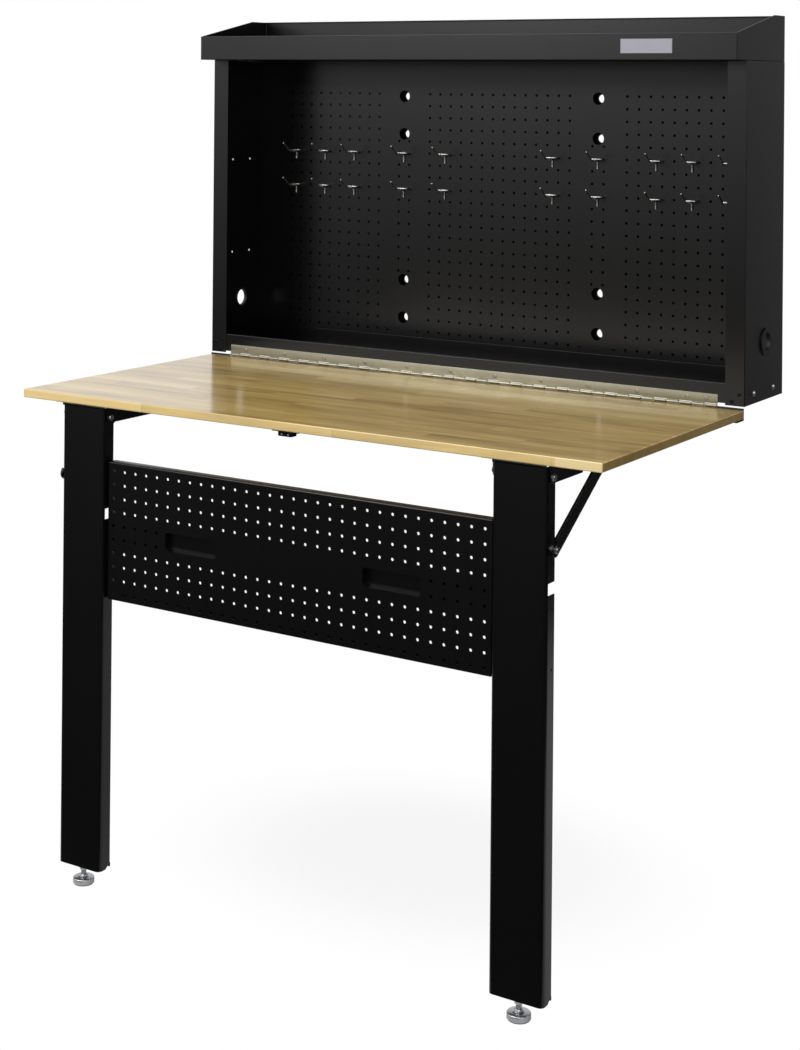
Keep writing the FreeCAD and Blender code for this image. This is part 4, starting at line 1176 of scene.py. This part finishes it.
@dataclass(frozen=True)
class LegFrame(Assembly):
    """Two channel legs joined by a perforated panel with handle openings."""

    body: str = "leg_frame"
    half: float = 50.0
    front: float = -796.0
    rear: float = -765.0
    low: float = 35.0
    lip_half: float = 49.5
    stud_height: float = 767.0
    panel_y: float = -784.0
    panel_top: float = 802.0
    panel_low: float = 544.0
    panel_half: float = 408.0
    columns: int = 32
    rows: int = 10
    first_row: float = 785.0
    blocked: tuple[int, ...] = (4, 5)                               # rows that the handles take
    end_columns: int = 5
    bend: float = 2.5
    fold: float = 17.0
    corner: float = 3.0
    handle_x: float = 214.0
    handle_height: float = 670.7
    handle_size: Pair = (115.0, 33.0)
    handle_corner: float = 6.0
    screw_y: float = -774.0
    screw_heights: Pair = (572.0, 670.0)

    def build(self) -> None:
        """Makes every piece of the leg frame."""
        self.dress(POWDER, 0.9, "left_leg", "right_leg")
        self.dress(POWDER, 0.5, "stiffener_rail", "left_handle_liner", "right_handle_liner")
        for side, x in (("left", -LEG_X), ("right", LEG_X)):
            self.dress(PLASTIC, 0.8, side + "_foot_cap")
            low, high = x - self.lip_half, x + self.lip_half
            lip = slab(side + "_leg_lip", at(low, self.front, 899.0), at(high, self.front + 2.0, 903.6), 0.5, POWDER)
            self.add(lip, POWDER.name)
            heel = slab(side + "_cap_heel", at(low, self.rear - 0.5, self.low + 1.5),
                        at(high, self.rear + 3.0, self.low + 9.5), 1.3, PLASTIC)
            self.add(heel, PLASTIC.name)
        self._panel()
        self._fasteners()

    def _panel(self) -> None:
        """The perforated sheet with its handle openings, and the returns round its edges."""
        holes = []
        for column in range(self.columns):
            at_end = min(column, self.columns - 1 - column) < self.end_columns
            holes += [((column - (self.columns - 1) / 2) * PITCH, self.first_row - row * PITCH, HOLE)
                      for row in range(self.rows) if at_end or row not in self.blocked]
        top, low, half, bend = self.panel_top, self.panel_low, self.panel_half, self.bend
        middle, tall = (top + low) / 2 + FLOOR_Z, top - low
        outlines = [rounded_outline((0.0, middle * MM), 2 * (half - bend) * MM, (tall - 2 * bend) * MM, 0.5 * MM, 2)]
        wide, high = self.handle_size
        outlines += [rounded_outline((side * self.handle_x * MM, (self.handle_height + FLOOR_Z) * MM),
                                     wide * MM, high * MM, self.handle_corner * MM) for side in (-1, 1)]
        sheet = perforated("leg_panel_sheet", self.panel_y, outlines, holes)
        self.add(sheet, POWDER.name, "lower_perforated_panel")
        rear, inner = self.panel_y + SHEET + self.fold, bend - SHEET
        turns = [math.pi / 2 * step / 4 for step in range(5)]
        profile = [(bend * (1 - math.sin(a)), self.panel_y + bend * (1 - math.cos(a))) for a in turns]
        profile += [(0.0, rear), (SHEET, rear)]
        profile += [(SHEET + inner * (1 - math.sin(a)), self.panel_y + SHEET + inner * (1 - math.cos(a)))
                    for a in reversed(turns)]
        loops = []
        for inset, y in profile:
            ring = rounded_outline((0.0, middle), 2 * (half - inset), tall - 2 * inset,
                                   max(self.corner - inset, 0.5), 4)
            loops.append([(x * MM, y * MM, z * MM) for x, z in ring])
        self.add(loft("leg_panel_returns", loops, POWDER), POWDER.name)
        lip = slab("leg_panel_lower_lip", at(4.0 - half, rear - SHEET, low + 0.5), at(half - 4.0, rear, low + 14.0),
                   0.5, POWDER)
        self.add(lip, POWDER.name)

    def _fasteners(self) -> None:
        """Studs, nuts and the screws that hold the panel to the legs."""
        studs, inner, nuts, screws = [], [], [], []
        for side, out, back in SIDEWAYS:
            studs.append((at(side * (LEG_X + STAY_HEAD), PIVOT_Y, self.stud_height), out))
            inner.append((at(side * (LEG_X + self.half - 2.0), PIVOT_Y, self.stud_height), back))
            nuts.append((at(side * LEG_X, FOOT_Y, self.low), Facing.DOWN))
            for x, way in ((self.panel_half - SHEET, back), (LEG_X - self.half + 2.0, out)):
                screws += [(at(side * x, self.screw_y, height), way) for height in self.screw_heights]
        stud = HexSet(shank_length=(STAY_OUT - self.half + 6.0) * MM)
        nut = HexSet(height=4.0 * MM, washer_height=0.0)
        foot = HexSet(across_corners=17.0 * MM, height=8.5 * MM, washer_height=0.0)
        small = ScrewSet(head_radius=3.6 * MM, shank_length=5.0 * MM)
        for kind, name, places, nodes in ((stud, "stud_heads", studs, ["stay_studs"]), (nut, "stud_nuts", inner, []),
                                          (foot, "foot_lock_nuts", nuts, ["foot_nuts"]),
                                          (small, "leg_panel_screw_heads", screws, ["lower_panel_screws"])):
            self.add(kind.make(name, places, ZINC), "zinc_fasteners", *nodes)
        for name, side in (("left_stud_collar", -1), ("right_stud_collar", 1)):
            ends = [side * x for x in (LEG_X + self.half, LEG_X + 53.25)]
            self.add(rod(name, ends, PIVOT_Y, self.stud_height, 6.0, 24), "zinc_fasteners")


@dataclass(frozen=True)
class Stays(Assembly):
    """Flat bars that lock the legs open."""

    def build(self) -> None:
        """Makes both stays."""
        for stay in ("left_stay", "right_stay"):
            self.dress(POWDER, 0.7, stay, body=stay)


@dataclass(frozen=True)
class Feet(Assembly):
    """Levelling feet: a turned pad on a threaded stem."""

    thread: float = 1.5
    crest: float = 5.0
    root: float = 4.15
    stem_low: float = 17.8
    stem_high: float = 58.0
    collar_height: float = 13.7
    sole: tuple[Pair, ...] = ((0.0, 0.0), (17.2, 0.0), (18.4, 0.4), (18.9, 1.4), (18.9, 2.2), (0.0, 2.2))
    cup: tuple[Pair, ...] = ((0.0, 1.9), (19.2, 1.9), (19.8, 2.3), (20.0, 3.0), (20.0, 10.6), (19.8, 11.4),
                             (19.2, 12.0), (18.4, 12.3), (12.0, 12.9), (10.0, 13.1), (9.4, 13.5), (8.9, 13.8),
                             (0.0, 13.8))

    def build(self) -> None:
        """Makes both feet."""
        collar = HexSet(across_corners=17.0 * MM, height=4.2 * MM, washer_height=0.0)
        for side, sign in (("left", -1), ("right", 1)):
            base, body = at(sign * LEG_X, FOOT_Y, 0.0), side + "_foot"
            cup = turned(side + "_pad", self.cup, base, ZINC, 56)
            self.add(cup, "zinc_feet", side + "_foot_pad", body=body)
            self.add(turned(side + "_sole", self.sole, base, RUBBER, 56), RUBBER.name, body=body)
            ring = collar.make(side + "_collar", [(at(sign * LEG_X, FOOT_Y, self.collar_height), Facing.UP)], ZINC)
            self.add(ring, "zinc_feet", body=body)
            stem = turned(side + "_stem", self._thread(), base, ZINC, 28)
            self.add(stem, "zinc_feet", side + "_foot_stem", body=body)

    def _thread(self) -> list[Pair]:
        """The stem's profile, with a ridge for each turn of its thread."""
        profile = [(0.0, self.stem_low), (self.root, self.stem_low)]
        for turn in range(int((self.stem_high - self.stem_low) / self.thread)):
            start = self.stem_low + turn * self.thread
            profile += [(self.root, start + 0.15), (self.crest, start + 0.65), (self.crest, start + 0.85),
                        (self.root, start + 1.35)]
        return profile + [(self.root, self.stem_high), (0.0, self.stem_high)]


@dataclass(frozen=True)
class Studio:
    """Camera, soft lamps, white surroundings and floor; places in metres, the image in pixels."""

    place: Point = (1.8984, -3.5407, 0.2623)
    focal: float = 1907.1
    centre: Pair = (319.3, 77.9)
    yaw: float = -0.5883
    pitch: float = 0.0033
    roll: float = -0.0088
    image: Pair = (800.0, 1050.0)
    sensor: float = 24.0
    ambient: Pair = (0.30, 1.10)
    aim: Point = (0.0, -0.5, -0.1)
    lamps: tuple[tuple[str, Point, float, float, float], ...] = (
        ("key_lamp", (-1.6, -2.95, 1.15), 1.4, 0.6, 27.0), ("side_lamp", (2.8, 0.65, 0.6), 0.7, 0.7, 8.0),
        ("top_lamp", (-1.4, -0.9, 2.8), 2.4, 1.2, 30.0))
    floor_side: float = 1.6
    floor_front: float = -0.83
    floor_back: float = 1.2

    def build(self) -> None:
        """Sets the whole studio."""
        self._camera()
        self._world()
        self._lamps()
        self._floor()
        bpy.context.scene.view_settings.view_transform = "Standard"

    def _camera(self) -> None:
        """The camera at the object's front right."""
        level = math.cos(self.pitch)
        forward = Vector((math.sin(self.yaw) * level, math.cos(self.yaw) * level, math.sin(self.pitch)))
        right = Vector((math.cos(self.yaw), -math.sin(self.yaw), 0.0))
        down = forward.cross(right)
        across = right * math.cos(self.roll) + down * math.sin(self.roll)
        below = down * math.cos(self.roll) - right * math.sin(self.roll)
        turn = Matrix((across, -below, -forward)).transposed().to_4x4()
        data = bpy.data.cameras.new("camera")
        data.sensor_fit = "VERTICAL"
        data.sensor_height = self.sensor
        data.lens = self.focal * self.sensor / self.image[1]
        data.shift_x = (self.image[0] / 2 - self.centre[0]) / self.image[1]
        data.shift_y = (self.centre[1] - self.image[1] / 2) / self.image[1]
        data.clip_start, data.clip_end = 0.05, 60.0
        camera = bpy.data.objects.new("camera", data)
        camera.matrix_world = Matrix.Translation(self.place) @ turn
        bpy.context.scene.collection.objects.link(camera)
        bpy.context.scene.camera = camera

    def _world(self) -> None:
        """White surroundings, which reflections see as a studio that is darker low in front."""
        world = bpy.data.worlds.new("white_surroundings")
        world.use_nodes = True
        bpy.context.scene.world = world
        tree = Graph(world.node_tree)
        tree.tree.nodes.clear()
        direction = tree.node("ShaderNodeTexCoord", output="Generated")
        split = tree.node("ShaderNodeSeparateXYZ", {0: direction})
        behind, lit = (tree.vectors("DOT_PRODUCT", direction, way, output="Value")
                       for way in ((-0.5, 0.866, 0.0), (-0.33, -0.72, 0.61)))
        front, height = tree.ramp(split.other("Y"), -0.6, 0.1, 1.0, 0.15), split.other("Z")
        backdrop = tree.ramp(behind, 0.58, 0.95, 0.03, 0.80) * tree.ramp(height, -0.30, -0.16, 0.05, 1.0)
        reflected = backdrop.largest(tree.ramp(height, -0.11, 0.06, 0.01, 1.45) * front)
        ambient = tree.ramp(lit, -0.6, 0.8, *self.ambient)
        rays = tree.node("ShaderNodeLightPath", output="Is Glossy Ray")
        level = ambient + rays.largest(rays.other("Is Transmission Ray")) * (reflected - ambient)
        level = level + rays.other("Is Camera Ray") * (1.0 - level)
        light = tree.node("ShaderNodeBackground", {"Color": tree.vector(level, level, level), "Strength": 1.0})
        tree.node("ShaderNodeOutputWorld", {"Surface": light})

    def _lamps(self) -> None:
        """Soft area lamps above and beside the object."""
        for name, place, width, height, power in self.lamps:
            data = bpy.data.lights.new(name, "AREA")
            data.shape = "RECTANGLE"
            data.size, data.size_y, data.energy = width, height, power
            lamp = bpy.data.objects.new(name, data)
            lamp.location = place
            lamp.rotation_euler = (Vector(self.aim) - Vector(place)).to_track_quat("-Z", "Y").to_euler()
            bpy.context.scene.collection.objects.link(lamp)

    def _floor(self) -> None:
        """A floor under the feet, which ends in front of them."""
        side, front, back, height = self.floor_side, self.floor_front, self.floor_back, FLOOR_Z * MM
        mesh = bpy.data.meshes.new("floor")
        mesh.from_pydata([(-side, front, height), (side, front, height), (side, back, height),
                          (-side, back, height)], [], [(0, 1, 2, 3)])
        mesh.materials.append(FLOOR.material())
        new_object("floor", mesh)


@dataclass(frozen=True)
class Workbench:
    """The whole object."""

    parts: tuple[type[Assembly], ...] = (Cabinet, PianoHinge, Worktop, LegFrame, Stays, Feet)

    def build(self) -> None:
        """Builds each sub-assembly in turn."""
        for part in self.parts:
            LOG.info("building %s", part.__name__)
            part().build()


def main() -> None:
    """Builds the workbench and its studio."""
    logging.basicConfig(level=logging.INFO, format="%(name)s: %(message)s", stream=sys.stdout)
    Workbench().build()
    Studio().build()


if __name__ == "__main__":
    main()
